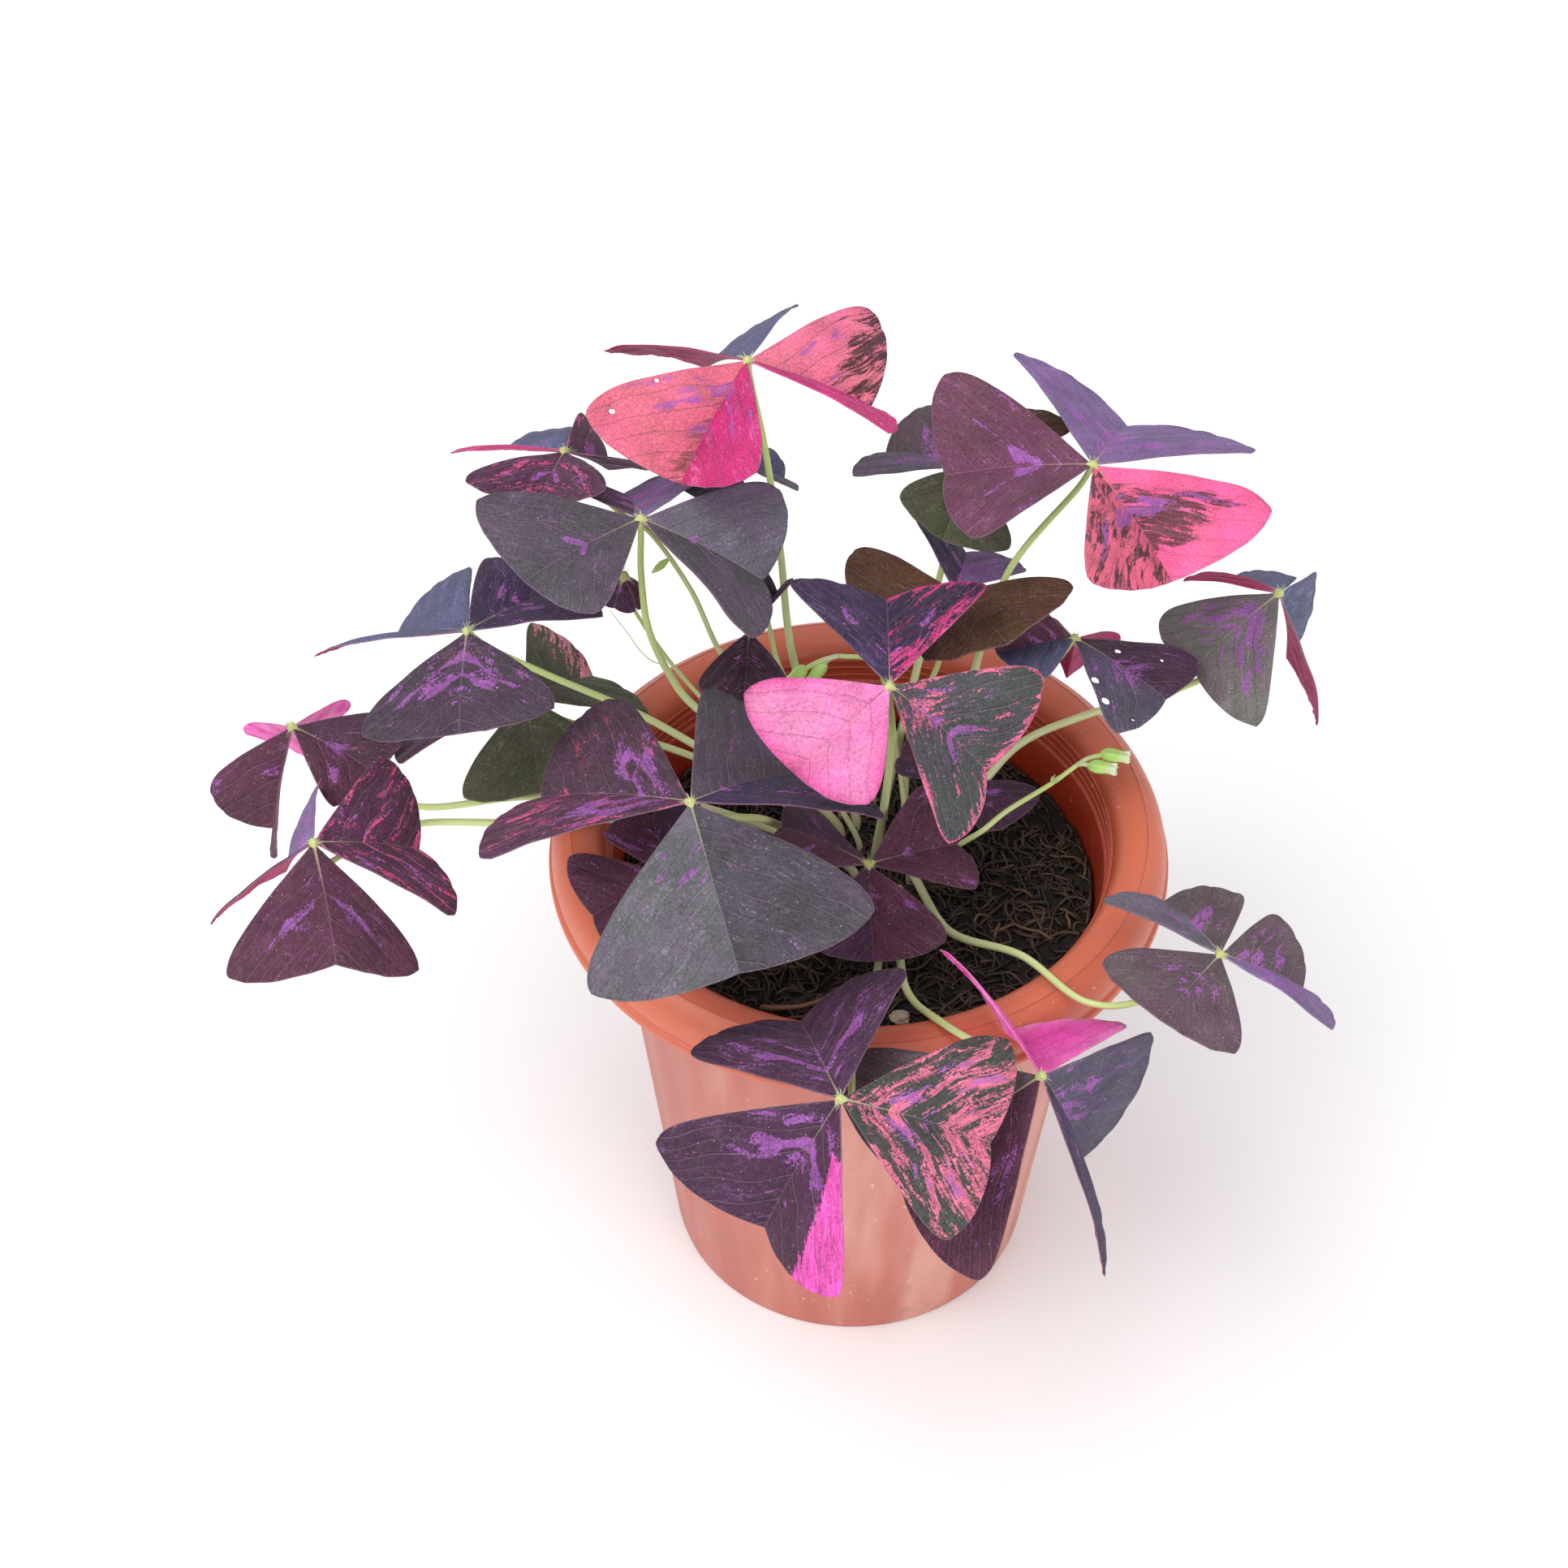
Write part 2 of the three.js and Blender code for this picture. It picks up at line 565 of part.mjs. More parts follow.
// A stalk's centre line: straight up out of its hole, through its own points, and to its tip.
function stalkLine(foot, via, tip) {
  const [x, y] = foot;
  const start = new THREE.Vector3(x, y, SOIL_HEIGHT + FOOT_RISE);
  const through = [start, ...via.map((p) => new THREE.Vector3(...p)), tip];
  const lead = new THREE.Vector3(x, y, SOIL_HEIGHT - FOOT_RISE);
  const curve = new THREE.CatmullRomCurve3([lead, ...through], false, "centripetal");
  const length = curve.getLength();
  const leadShare = (2 * FOOT_RISE) / length;
  const line = [new THREE.Vector3(x, y, SOIL_HEIGHT - FOOT_DEPTH), start];
  for (let i = 1; i <= STALK_STEPS; i += 1) {
    line.push(curve.getPointAt(THREE.MathUtils.lerp(leadShare, 1, i / STALK_STEPS)));
  }
  return line;
}

// The direction from the hub in which the stalk leaves, turned away from the leaflets beside it.
function clearDirection(leaf) {
  if (leaf.leave) return leafletFrame([...leaf.leave, 0]).along;
  const hub = new THREE.Vector3(...leaf.hub);
  const direction = new THREE.Vector3(...leaf.via[leaf.via.length - 1]).sub(hub).normalize();
  direction.add(new THREE.Vector3(0, 0, -0.6)).normalize();
  for (let turn = 0; turn < CLEARING_TURNS; turn += 1) {
    for (const leaflet of leaf.leaflets) {
      const { along } = leafletFrame(leaflet);
      const excess = direction.dot(along) - Math.cos(CLEAR_ANGLE * DEG);
      if (excess > 0) direction.addScaledVector(along, -excess).normalize();
    }
  }
  return direction;
}

function makeStalk(leaf) {
  const hub = new THREE.Vector3(...leaf.hub);
  const approach = clearDirection(leaf);
  const tip = hub.clone().addScaledVector(approach, HUB_RADIUS + STALK_GAP);
  const bend = hub.clone().addScaledVector(approach, HUB_RADIUS + STALK_BEND);
  const via = [...leaf.via, bend.toArray()];
  return closedGeometry(
    taperedTube(stalkLine(leaf.foot, via, tip), STALK_FOOT_RADIUS, STALK_TIP_RADIUS, STALK_SIDES),
  );
}

// A spent flower's cup: five or six narrow sepals closed round a short tube.
function makeCup({ base, heading, pitch }) {
  const profile = [
    [0, 0],
    [CUP_RADIUS * 0.6, CUP_LENGTH * 0.1],
    [CUP_RADIUS, CUP_LENGTH * 0.5],
    [CUP_RADIUS * 0.8, CUP_LENGTH],
    [0, CUP_LENGTH * 0.85],
  ].map(([radius, height]) => new THREE.Vector2(radius, height));
  const cup = new THREE.LatheGeometry(profile, CUP_SIDES);
  cup.rotateZ(-90 * DEG);
  cup.rotateY(-pitch * DEG);
  cup.rotateZ(heading * DEG);
  cup.translate(...base);
  return cup;
}

function makeFlowerStalk(stalk) {
  const tip = new THREE.Vector3(...stalk.tip);
  const line = stalkLine(stalk.foot, stalk.via, tip);
  const pieces = [taperedTube(line, STALK_TIP_RADIUS * 1.1, STALK_TIP_RADIUS * 0.8, STALK_SIDES)];
  for (const cup of stalk.cups) {
    const base = new THREE.Vector3(...cup.base);
    const into = new THREE.Vector3(Math.cos(cup.heading * DEG), Math.sin(cup.heading * DEG), 0);
    const neck = [tip.clone(), base.clone().addScaledVector(into, CUP_LENGTH * 0.3)];
    pieces.push(taperedTube(neck, STALK_TIP_RADIUS * 0.7, STALK_TIP_RADIUS * 0.7, STALK_SIDES));
    pieces.push(makeCup(cup));
  }
  return joined(pieces);
}

// ---------------------------------------------------------------- the plant

function piece(name, geometry, colour, roughness) {
  const material = new THREE.MeshStandardMaterial({ color: colour, roughness, metalness: 0 });
  const mesh = new THREE.Mesh(geometry, material);
  mesh.name = name;
  return mesh;
}

const plant = new THREE.Group();
plant.add(piece("pot", makePot(), COLOURS.pot, 0.5));
plant.add(piece("soil", makeSoil(), COLOURS.soil, 0.95));

for (const leaf of LEAVES) {
  const blade = piece(`leaf_${leaf.name}_blade`, makeBlade(leaf), COLOURS[leaf.colour], 0.6);
  blade.position.set(...leaf.hub);
  plant.add(blade);
  plant.add(piece(`leaf_${leaf.name}_stalk`, makeStalk(leaf), COLOURS.stalk, 0.5));
}

for (const stalk of FLOWER_STALKS) {
  plant.add(piece(stalk.name, makeFlowerStalk(stalk), COLOURS.stalk, 0.5));
}

export default plant;
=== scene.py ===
"""Purple shamrock growing in a moulded plastic pot, dressed for rendering.

The frame is the solid model: every soft or faceted piece of it is replaced here by a finer one in
the same place. Lengths in the tables are millimetres, turned to metres as each mesh is made.
"""

import functools
import math
import random
from collections import namedtuple

import bmesh
import bpy
from mathutils import Matrix, Vector, noise


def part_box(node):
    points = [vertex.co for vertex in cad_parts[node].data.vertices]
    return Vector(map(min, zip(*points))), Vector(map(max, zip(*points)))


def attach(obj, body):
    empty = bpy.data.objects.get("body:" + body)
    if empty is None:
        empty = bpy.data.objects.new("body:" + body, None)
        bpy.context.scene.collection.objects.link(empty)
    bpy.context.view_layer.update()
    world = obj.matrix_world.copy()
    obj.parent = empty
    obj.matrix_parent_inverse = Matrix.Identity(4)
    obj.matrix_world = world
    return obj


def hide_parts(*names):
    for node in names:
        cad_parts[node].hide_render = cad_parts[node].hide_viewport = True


bl_info = {
    "name": "Potted Purple Shamrock",
    "version": (1, 0, 0),
    "blender": (4, 5, 0),
    "location": "View3D > Sidebar > Shamrock",
    "description": "Builds the leaves, stalks, soil, pot and studio of a potted purple shamrock",
    "category": "Add Mesh",
}

MM = 0.001
SEED = 41

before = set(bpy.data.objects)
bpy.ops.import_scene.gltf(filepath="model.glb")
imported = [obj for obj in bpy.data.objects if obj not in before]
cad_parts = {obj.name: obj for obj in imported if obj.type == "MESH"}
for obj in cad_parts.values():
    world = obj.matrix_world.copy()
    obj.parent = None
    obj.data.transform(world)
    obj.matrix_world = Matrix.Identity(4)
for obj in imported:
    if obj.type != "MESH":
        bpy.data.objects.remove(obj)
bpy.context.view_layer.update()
POT_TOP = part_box("pot")[1].z / MM
RIM_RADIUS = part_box("pot")[1].x / MM


@functools.cache
def linear(hex_colour):
    """Turns an sRGB hex colour into linear red, green, blue and alpha."""
    channels = [int(hex_colour[i : i + 2], 16) / 255 for i in (1, 3, 5)]
    return (*[c / 12.92 if c <= 0.04045 else ((c + 0.055) / 1.055) ** 2.4 for c in channels], 1.0)


# ------------------------------------------------------------------ the plant's own tables

# What one wing of a leaflet looks like: ground colour, colour of its streaks, share of lilac patches
# beside the midrib, and where given the share of the wing that streaks cover and where they gather.
Coat = namedtuple("Coat", "ground streak lilac share where", defaults=(0.3, "all"))
COAT_ROWS = {
    "aubergine": ("#462f43", "#5f3f60", 0.34),
    "charcoal": ("#4e4850", "#5a525e", 0.27),
    "felt_grey": ("#5d5c61", "#6a696f", 0.22),
    "felt_dark": ("#454148", "#524d56", 0.1),
    "slate": ("#645e6b", "#716b79", 0.24),
    "shaded": ("#3d2b36", "#4d3846", 0.24),
    "slate_lilac": ("#524d5e", "#5f596c", 0.42),
    "burgundy": ("#543242", "#6a3c54", 0.36),
    "rosewood": ("#633d4e", "#754660", 0.34),
    "indigo": ("#3b3049", "#504266", 0.32),
    "violet": ("#755f88", "#9070a8", 0.4),
    # Blue is painted sheen: the blue-grey that a purple wing shows when seen at a low angle.
    "blue": ("#535873", "#666d8f", 0.1),
    "brown": ("#573c29", "#654833", 0),
    "grey_brown": ("#594c50", "#675a5e", 0.3),
    "olive": ("#51563e", "#61674c", 0),
    "olive_pink": ("#51563e", "#e08c9c", 0, 0.36, "far"),
    "grey_green": ("#6e6b68", "#7a7775", 0.48),
    "salmon": ("#d56a7e", "#99565a", 0.3, 0.22, "rib"),
    "salmon_dark": ("#da7488", "#5a343a", 0.28, 0.4, "far"),
    "salmon_mottled": ("#d4627a", "#55333a", 0.4, 0.46),
    "salmon_edge": ("#e4618c", "#6f3c48", 0.38, 0.56, "inside"),
    "light_pink": ("#e28cb6", "#d04a8e", 0, 0.0, "blush"),
    "hot_pink": ("#e048a4", "#ea8cc4", 0, 0.0, "blush"),
    "magenta": ("#be306e", "#d65c96", 0.24),
    "marbled": ("#42453f", "#d06c86", 0.32, 0.48),
    "marbled_edge": ("#454a49", "#d8688a", 0.36, 0.29, "edge"),
    "flecked": ("#4a3643", "#b84460", 0.33, 0.22),
    "flecked_pink": ("#4f3044", "#c64c7c", 0.38, 0.33),
    "indigo_pink": ("#362a40", "#c43e78", 0.32, 0.36, "edge"),
    "pink_patch": ("#4b2f43", "#e656b0", 0.3, 0.62, "patch"),
    "pink_base": ("#453a45", "#c84878", 0.48, 0.17, "base"),
    "crimson": ("#98084e", "#ac2466", 0),
    "plum": ("#5f2854", "#7a3a70", 0),
    "under_brown": ("#58402c", "#6a4c34", 0),
    "under_olive": ("#51533a", "#63654a", 0),
    "under_pink": ("#e63fae", "#f28fcb", 0),
}
COATS = {name: Coat(*row) for name, row in COAT_ROWS.items()}

# Every leaf: material slot, hub, foot of its stalk, points that the stalk passes through, and its
# three leaflets. A leaflet is its coats, then heading, pitch, twist, fold (degrees), midrib length
# (mm), width, and where given the share of the usual bulge of its far edge and the fold of its right
# wing. Two coats are above and below, three are above left, above right and below, and four are both
# wings above and both below.
Leaf = namedtuple("Leaf", "slot hub foot via leaflets")
Leaflet = namedtuple(
    "Leaflet", "coats heading pitch twist fold length width bulge right_fold", defaults=(1, None)
)
LEAF_ROWS = {
    "top_pink": (
        "leaf_pink", (-29, 54.5, 240), (-1, 20), ((-16.5, 37.5, 156), (-21, 45, 191), (-25, 50, 219)),
        ("magenta salmon crimson", 243, -23, 3, -31, 34, 1.03),
        ("salmon_dark magenta crimson under_pink", 5, -28, -2, -23, 32.5, 1),
        ("crimson blue crimson blue", 114, -41, 6, -14.5, 35.8, 0.96, 1, -23.5),
    ),
    "upper_right": (
        "leaf_purple", (52, 38.5, 224.5), (18.5, 22), ((26, 30, 160), (34, 32, 197)),
        ("rosewood plum", 187, -1, -5, -13, 34, 1.04),
        ("violet violet blue crimson", 73, -25, 10, -11.5, 36.5, 1.15),
        ("salmon_edge salmon_mottled crimson", 305, -20, -7, -21, 33.5, 1.14),
    ),
    "upper_left": (
        "leaf_charcoal", (-52, 16.5, 224), (-5, 16),
        ((-42, 19.5, 162.5), (-45.5, 20, 168.5), (-51, 20, 185), (-52.5, 20, 203)),
        ("charcoal plum", 221, 0, -4, -14, 32.5, 0.92),
        # The slate left wing of this leaflet, lighter than its charcoal right wing, is painted sheen.
        ("slate charcoal plum crimson", 357, -31, 5, -12, 32.5, 0.98),
        ("aubergine violet crimson plum", 102, -32, 5, -12, 34.5, 1.05),
    ),
    "left_lilac": (
        "leaf_charcoal", (-93, 11, 192), (-9, 13), ((-48, 13, 160), (-76, 12, 178)),
        ("pink_base plum", 271, -6, 14, -2, 30, 1.02),
        ("indigo blue", 46, -11, -9, -6, 27, 0.95),
        ("blue blue crimson blue", 140, -36, 5, -14, 31, 1.05),
    ),
    "far_left_high": (
        "leaf_purple", (-137, 11.5, 158), (-9.5, 7),
        ((-52, 5, 144.5), (-82, 2.5, 145), (-107, 0, 143.5), (-121, 6, 146)),
        ("burgundy crimson", 246, -66, 32, -27, 27, 0.95),
        ("flecked burgundy under_brown", 335, -13, -4, -7, 23, 1),
        ("magenta hot_pink under_pink", 84, -64.5, -21.5, -34.5, 22, 0.98),
    ),
    "far_left_low": (
        "leaf_purple", (-124.5, -42, 175), (-6, 2),
        ((-50, -3.5, 144), (-84, -7.5, 146.5), (-105, -12, 150), (-117, -27, 158)),
        ("burgundy plum", 285, -15, -16, 24, 31, 1.05),
        ("flecked_pink plum", 34, -33, 16, -10, 31, 0.96),
        ("plum violet crimson", 127.5, -56, -25, -14, 28.5, 1.06),
    ),
    "big_front_left": (
        "leaf_charcoal", (-38, -44, 194), (-1, 1), ((-19.5, -3, 143.5), (-28.5, -20, 164)),
        ("felt_dark felt_grey plum", 288, -19, 12, -6, 42, 1.03),
        ("flecked_pink flecked plum", 158, -21, 5, -9, 40, 1.03),
        ("charcoal indigo plum crimson", 50, -27, 4, -12, 39.5, 0.94),
    ),
    "centre_pink": (
        "leaf_pink", (6, -15.5, 204), (4, 6), ((6, 0, 150), (7, -6, 180)),
        ("light_pink hot_pink", 227, -12, -16, -26, 30.5, 0.92),
        ("marbled_edge marbled_edge plum crimson", 347, -42, 19, -15, 31, 1.08),
        ("indigo indigo_pink plum", 92, -5, 1, -16, 31, 1, 0.2),
    ),
    "soil_centre": (
        "leaf_purple", (2.5, -15, 143.5), (0, -4), ((0.5, -9, 131),),
        ("burgundy aubergine plum", 274, -21, -3, -27, 24, 1.02),
        ("burgundy plum", 22, -3, 9, -13, 22, 0.98),
        ("burgundy aubergine plum", 165, 17, 19, 9, 22, 1),
    ),
    "front_pot": (
        "leaf_pink", (-2.5, -106, 166.5), (5, -6), ((5.5, -31, 127), (3, -55.5, 142.5), (0, -80.5, 154)),
        ("aubergine plum", 107, -19, -12, -9, 34.5, 1),
        ("pink_patch aubergine crimson plum", 224, -50, -3, -19, 34, 1.17),
        ("marbled plum", 347, -7, 9, 1, 33.5, 1.03),
    ),
    "front_right": (
        "leaf_purple", (42, -91.5, 159), (10, -4),
        ((12, -45.5, 134), (21, -66.5, 146), (36.5, -81.5, 150)),
        ("hot_pink under_pink", 104.5, -32, 41.5, -16.5, 33, 1.07, 1, -36),
        ("slate_lilac indigo crimson", 27, -71, 40, -20, 38, 1.14),
        ("burgundy grey_brown plum", 205, -30, -13, -1, 39, 1.05),
    ),
    "far_right_low": (
        "leaf_purple", (83.5, -51.5, 156), (13, 1),
        ((22, -21.5, 128), (39, -40.5, 141), (53.5, -58.5, 146), (63.5, -58.5, 146)),
        ("grey_brown plum", 235, 1, -10, -7, 24.5, 1),
        ("grey_brown violet plum blue", 10, -35, -7, -10, 25, 1.03),
        ("slate grey_brown plum", 118, -14, 18, -5, 25, 1),
    ),
    "far_right_high": (
        "leaf_charcoal", (99.5, 43, 181), (21, 10),
        ((37, 24, 144), (53.5, 30, 150), (78, 37, 154), (92, 40.5, 162)),
        ("grey_green plum", 211, -32, -3, 16, 27, 1.05),
        ("blue slate blue crimson", 54, -73.5, 56.5, -17.5, 29, 1.02),
        ("crimson blue crimson blue", 115, -30, -12.5, -22.5, 23.2, 0.86, 1, 31),
    ),
    "right_holed": (
        "leaf_purple", (50, 26.5, 180), (19.5, 16.5), ((29, 22, 147), (43, 25, 168)),
        ("aubergine slate_lilac plum", 326, -11, -11, 4, 26, 1),
        ("blue burgundy plum", 208, 11, -19, -28, 21, 0.93),
        ("plum crimson", 94, -69, 18, -50, 22, 0.94),
    ),
    "back_right": (
        "leaf_brown", (23.5, 56.5, 207), (6, 23), ((13, 37.5, 157.5), (19, 53, 181)),
        ("slate grey_brown under_brown", 151, -14, 5, -9, 22.5, 1.03),
        ("olive under_brown", 255, -13, -24, -20, 21.5, 0.95),
        ("brown under_brown", 59, 4, 0, -8, 22, 1),
    ),
    "back_brown": (
        "leaf_brown", (21, 29, 192), (11, 18.5), ((12, 32, 142), (18, 25.5, 172)),
        ("brown under_brown", 186, -8, 15, -17, 23.5, 1),
        ("brown under_brown", 299, 10, 8, -12, 25, 1.08),
        ("indigo violet under_brown", 82, -18, 20, -11, 22, 0.9),
    ),
    "left_olive": (
        "leaf_olive", (-81.5, 23, 158.5), (-8.5, 18.5), ((-46, 19, 146), (-68, 23, 149)),
        ("olive under_olive", 282, -14, 11, -4, 26, 0.94),
        ("olive_pink olive under_olive", 53, -25, 10, -5, 26.5, 1),
        ("aubergine grey_brown crimson", 176, -27, 21, 1, 29, 1),
    ),
    "back_left": (
        "leaf_purple", (-71.5, 44, 219.5), (-5, 23),
        ((-33.5, 28, 168), (-42, 32, 188), (-52, 37.5, 201), (-60, 45, 200.5), (-68.5, 50, 207)),
        ("magenta blue crimson blue", 140, -29, 19, -5, 22.5, 1.03),
        ("flecked_pink plum", 257, 5, 8, -15, 22.5, 1.03),
        ("flecked_pink plum", 49, -46, 4, -25, 20, 0.96),
    ),
    "pot_back": (
        "leaf_purple", (-27.5, 26, 180), (0, 11), ((-12, 17, 145), (-23, 24, 168)),
        ("shaded plum", 268, -20, 0, -15, 18, 0.82),
        ("aubergine plum", 62, 8, 0, -55, 13, 1),
        ("aubergine plum", 122, 8, 0, -55, 13, 1),
    ),
    "pot_left": (
        "leaf_purple", (-44, -32.5, 157), (-4, -2), ((-20, -15, 138),),
        ("burgundy plum", 207, -15, -9, -9, 19.5, 1.03),
        ("burgundy aubergine plum", 106, 6, -15, -2, 17.5, 0.9),
        ("burgundy plum", 335, -17, 0, -8, 18.5, 1),
    ),
    "pot_right": (
        "leaf_purple", (21.5, 16, 139.5), (9, 8), ((14, 12, 130),),
        ("aubergine plum", 326, -5, -18, -10, 18.5, 1),
        ("aubergine burgundy plum", 161, 21, 10, -10, 13, 0.9),
        ("burgundy plum", 95, 5, 0, -60, 8, 0.9),
    ),
    "young_left": (
        "leaf_purple", (-57, 26, 197), (-12, 21), ((-38.5, 24, 158), (-48, 26, 171.5)),
        ("aubergine burgundy plum", 5, -50, 0, 30, 7.5, 0.9),
        ("aubergine plum", 125, -50, 0, 30, 7.5, 0.9),
        ("aubergine plum", 245, -50, 0, 30, 7.5, 0.9),
    ),
    "behind_top": (
        "leaf_purple", (-31.5, 57, 205.5), (3, 28), ((-20, 46, 146), (-23.5, 51, 157)),
        ("blue slate blue", 14, -32, -10, -11, 13, 1),
        ("slate blue", 241, -7, 0, -8, 13.5, 1),
        ("slate blue", 122, -8, 0, -8, 13.5, 1),
    ),
}
LEAVES = {
    name: Leaf(slot, Vector(hub), foot, via, [Leaflet(*row) for row in rows])
    for name, (slot, hub, foot, via, *rows) in LEAF_ROWS.items()
}

# Flower stalks: foot, points passed through, tip, and the cups of spent flowers as base, heading
# and pitch.
FLOWER_STALKS = {
    "flower_stalk_right": (
        (18.5, 2),
        ((21.5, -2, 134), (24.5, -6, 142), (29.5, -7.5, 148.5), (34.5, -3.5, 150.5), (46.5, 9, 148.5)),
        (52, 12.5, 151), (((57.5, 14.5, 153), -12, 4), ((54.5, 11.5, 152), -18, 8)),
    ),
    "flower_stalk_back": (
        (12, 12), ((8, 27.5, 144.5), (2, 31, 166)),
        (-6, 32, 166.5), (((-9.5, 32, 164.5), 200, -60), ((-14, 31.5, 163), 190, -50)),
    ),
}

# Holes eaten through a leaflet: wing, place on it (u, v) and radius in mm, by leaf and leaflet.
HOLES = {
    ("right_holed", 0): (
        (1, 0.33, 0.28, 0.9), (1, 0.62, 0.5, 0.7), (-1, 0.36, 0.8, 1.3), (-1, 0.56, 0.8, 1.2),
        (-1, 0.86, 0.6, 0.5),
    ),
    ("top_pink", 0): ((-1, 0.42, 0.84, 0.6), (-1, 0.75, 0.7, 0.75)),
    ("top_pink", 2): ((1, 0.78, 0.3, 0.8), (1, 0.88, 0.18, 0.7)),
}

# Half a leaflet's outline in midrib lengths: the side edge from hub to lobe corner, and the far edge
# from the notch to the same corner, which is rounded off over the last part of both.
CORNER = (0.935, 0.784)
SIDE_EDGE = ((0, 0), (0.375, 0.402), (0.858, 0.876), CORNER)
FAR_EDGE = ((1, 0), (1.105, 0.333), (1.031, 0.668), CORNER)
ROUND_FROM = 0.58
ROUND_DEPTH = 0.095
MIDRIB_ARCH = 0.04
WING_ARCH = 0.05
NECK_START = 0.6
NECK_HALF_WIDTH = 0.5
ROWS = 46
COLUMNS = 18
ACROSS = 2 * COLUMNS + 1

# The columns crowd towards the midrib. The blade ripples slowly and thins at its rim, the joint is
# drawn out from its least to its greatest radius, and each leaflet has a seed of its own.
CROWDING = 1.25
RIPPLE = 0.6
RIPPLE_SCALE = 0.11
RIM_THINNING = 0.55
JOINT_SWELLING = (0.72, 1.25)
LEAF_SEED = 11.3
LEAFLET_SEED = 3.7

# Veins leave the midrib at about 48 degrees, this many mm apart along it, and wander a little.
VEIN_LEAN = 0.9
VEIN_SPACING = 6.5
VEIN_WANDER = 2.6
BLISTER = 0.5

# What the coats need at each corner of a face: kind of layer, its field and what the joint has there.
LAYERS = {
    "flat": ("UV", "uv", (0, 0)),
    "veins": ("UV", "uv", (0, 0)),
    "ground": ("FLOAT_COLOR", "color", (0.5, 0.5, 0.3, 1)),
    "streak": ("FLOAT_COLOR", "color", (0.5, 0.5, 0.3, 1)),
    "marks": ("FLOAT_VECTOR", "vector", (0, 0, 0)),
    "place": ("FLOAT_VECTOR", "vector", (0, 0, 1)),
}

# Hairs round a joint in mm: shortest and longest, and the radius at root and tip.
HAIR_REACH = (0.9, 1.8)
HAIR_RADII = (0.07, 0.03)

# Slender stalks, as a share of the usual thickness.
SLENDER = {"back_left": 0.7, "young_left": 0.6, "pot_back": 0.7, "behind_top": 0.7, "back_brown": 0.8}

# One stalk leaves its hub by its own heading and pitch, to pass behind the leaflet below it.
LEAVING = {"far_right_high": (200, -70)}
STALK_BEND = 4.5
STALK_TIP = 0.4
STALK_SIDES = 12
CLEAR_ANGLE = math.radians(50)
CLEARING_TURNS = 20

# A spent flower's cup: share of its length and radius in mm, out to the teeth and back down inside.
# Its five lobes stand out by a tenth and end in teeth that start at this share of its length.
CUP_LENGTH = 6.5
CUP_SIDES = 30
CUP_TEETH = 0.8
TEETH_FROM = 0.6
LOBES = 5
LOBE_DEPTH = 0.1
CUP_PROFILE = (
    (0, 0.5), (0.06, 0.9), (0.16, 1.3), (0.32, 1.6), (0.5, 1.6), (0.68, 1.4), (0.84, 1.35), (1, 1.55),
    (0.97, 1.35), (0.86, 1.1), (0.8, 0.6),
)

# A small unopened bud on the stalk of back_left: place, heading and pitch, length in mm and profile.
BUD_PLACE = (-47, 34.8, 194.5)
BUD_LEAN = (202, -37)
BUD_LENGTH = 5.5
BUD_PROFILE = ((0, 0.25), (0.15, 0.6), (0.4, 0.95), (0.65, 0.8), (0.85, 0.45), (1, 0.1))

# Pointed scales round the knot of a flower stalk, and a dried thread that hangs from one leaf stalk.
SCALES = 7
SCALE_RADII = (0.4, 0.06)
THREAD_LEAF = "upper_left"
THREAD_RADII = (0.18, 0.1)
THREAD = ((-47, 20, 173.6), (-50.3, 20, 174.8), (-53, 20, 177.9), (-55.8, 20, 183.4), (-60.2, 20, 191.5))

# The pot: its wall, floor and ring of drain holes, the flare of the collar as out from the neck and
# down from the top, its bead lip and rounded crest as in from the rim and down from the top, and the
# small steps inside, again from the neck.
WALL = 1.4
WALL_TOP = 127
FLOOR = 2.4
DRAIN_HOLES = 6
DRAIN_RADIUS = 4
DRAIN_CIRCLE = 31
SHARP_ANGLE = math.radians(38)
COLLAR = ((1.3, 7.6), (2.6, 4.4), (4.6, 2.6))
CREST = (
    (5.2, 2), (3.6, 3.4), (2.4, 6), (1.8, 12), (1.2, 12.1), (0.3, 12), (0, 11.6), (0, 10.6), (0.2, 10.1),
    (0.8, 9.7), (0.9, 9.2), (0.7, 8.6), (0.8, 7), (1.1, 5.6), (1.7, 4), (2.6, 2.6), (4, 1.1), (5.4, 0.32),
    (5.6, 0.1), (5.85, 0.26), (7, 0), (8.6, 0.1), (10.2, 0.5), (11.6, 1.3), (12.6, 2.2),
)
STEPS = (
    (1.3, 3.8), (0.9, 5.2), (0.55, 5.35), (0.75, 5.7), (0.7, 7.4), (0.35, 7.55), (0.5, 7.9), (0.4, 9.6),
    (0.05, 9.75), (0.15, 10.1), (0, 11.3), (-0.7, 11.8),
)

# The mix: its mean height and relief, its foot on the pot's floor, loose fibres (steps, lengths, share
# of short ones, how high they arch and how thick they are), a dried root that lies by the front rim,
# and a pale chip of stone beside it.
SOIL_HEIGHT = 120
SOIL_RELIEF = 1.1
SOIL_FOOT = (43, 2.8)
FIBRE_STEPS = 6
SHORT_FIBRE = (4, 9)
LONG_FIBRE = (9, 15)
SHORT_SHARE = 0.8
FIBRE_RISE = (0.3, 1.7)
FIBRE_THICKNESS = (0.26, 0.62)
FIBRE_SINK = 0.7
ROOT_RADII = (0.75, 0.45)
RED_ROOT = (
    (-22, -42, 121.8), (-19.5, -43.5, 123.4), (-13, -43.5, 124.2), (-7, -40.5, 123.8), (-3.5, -37, 122),
)
CHIP_PLACE = (11, -44.5, 122.4)
CHIP_SIZE = (2.6, 1.9, 1.3)

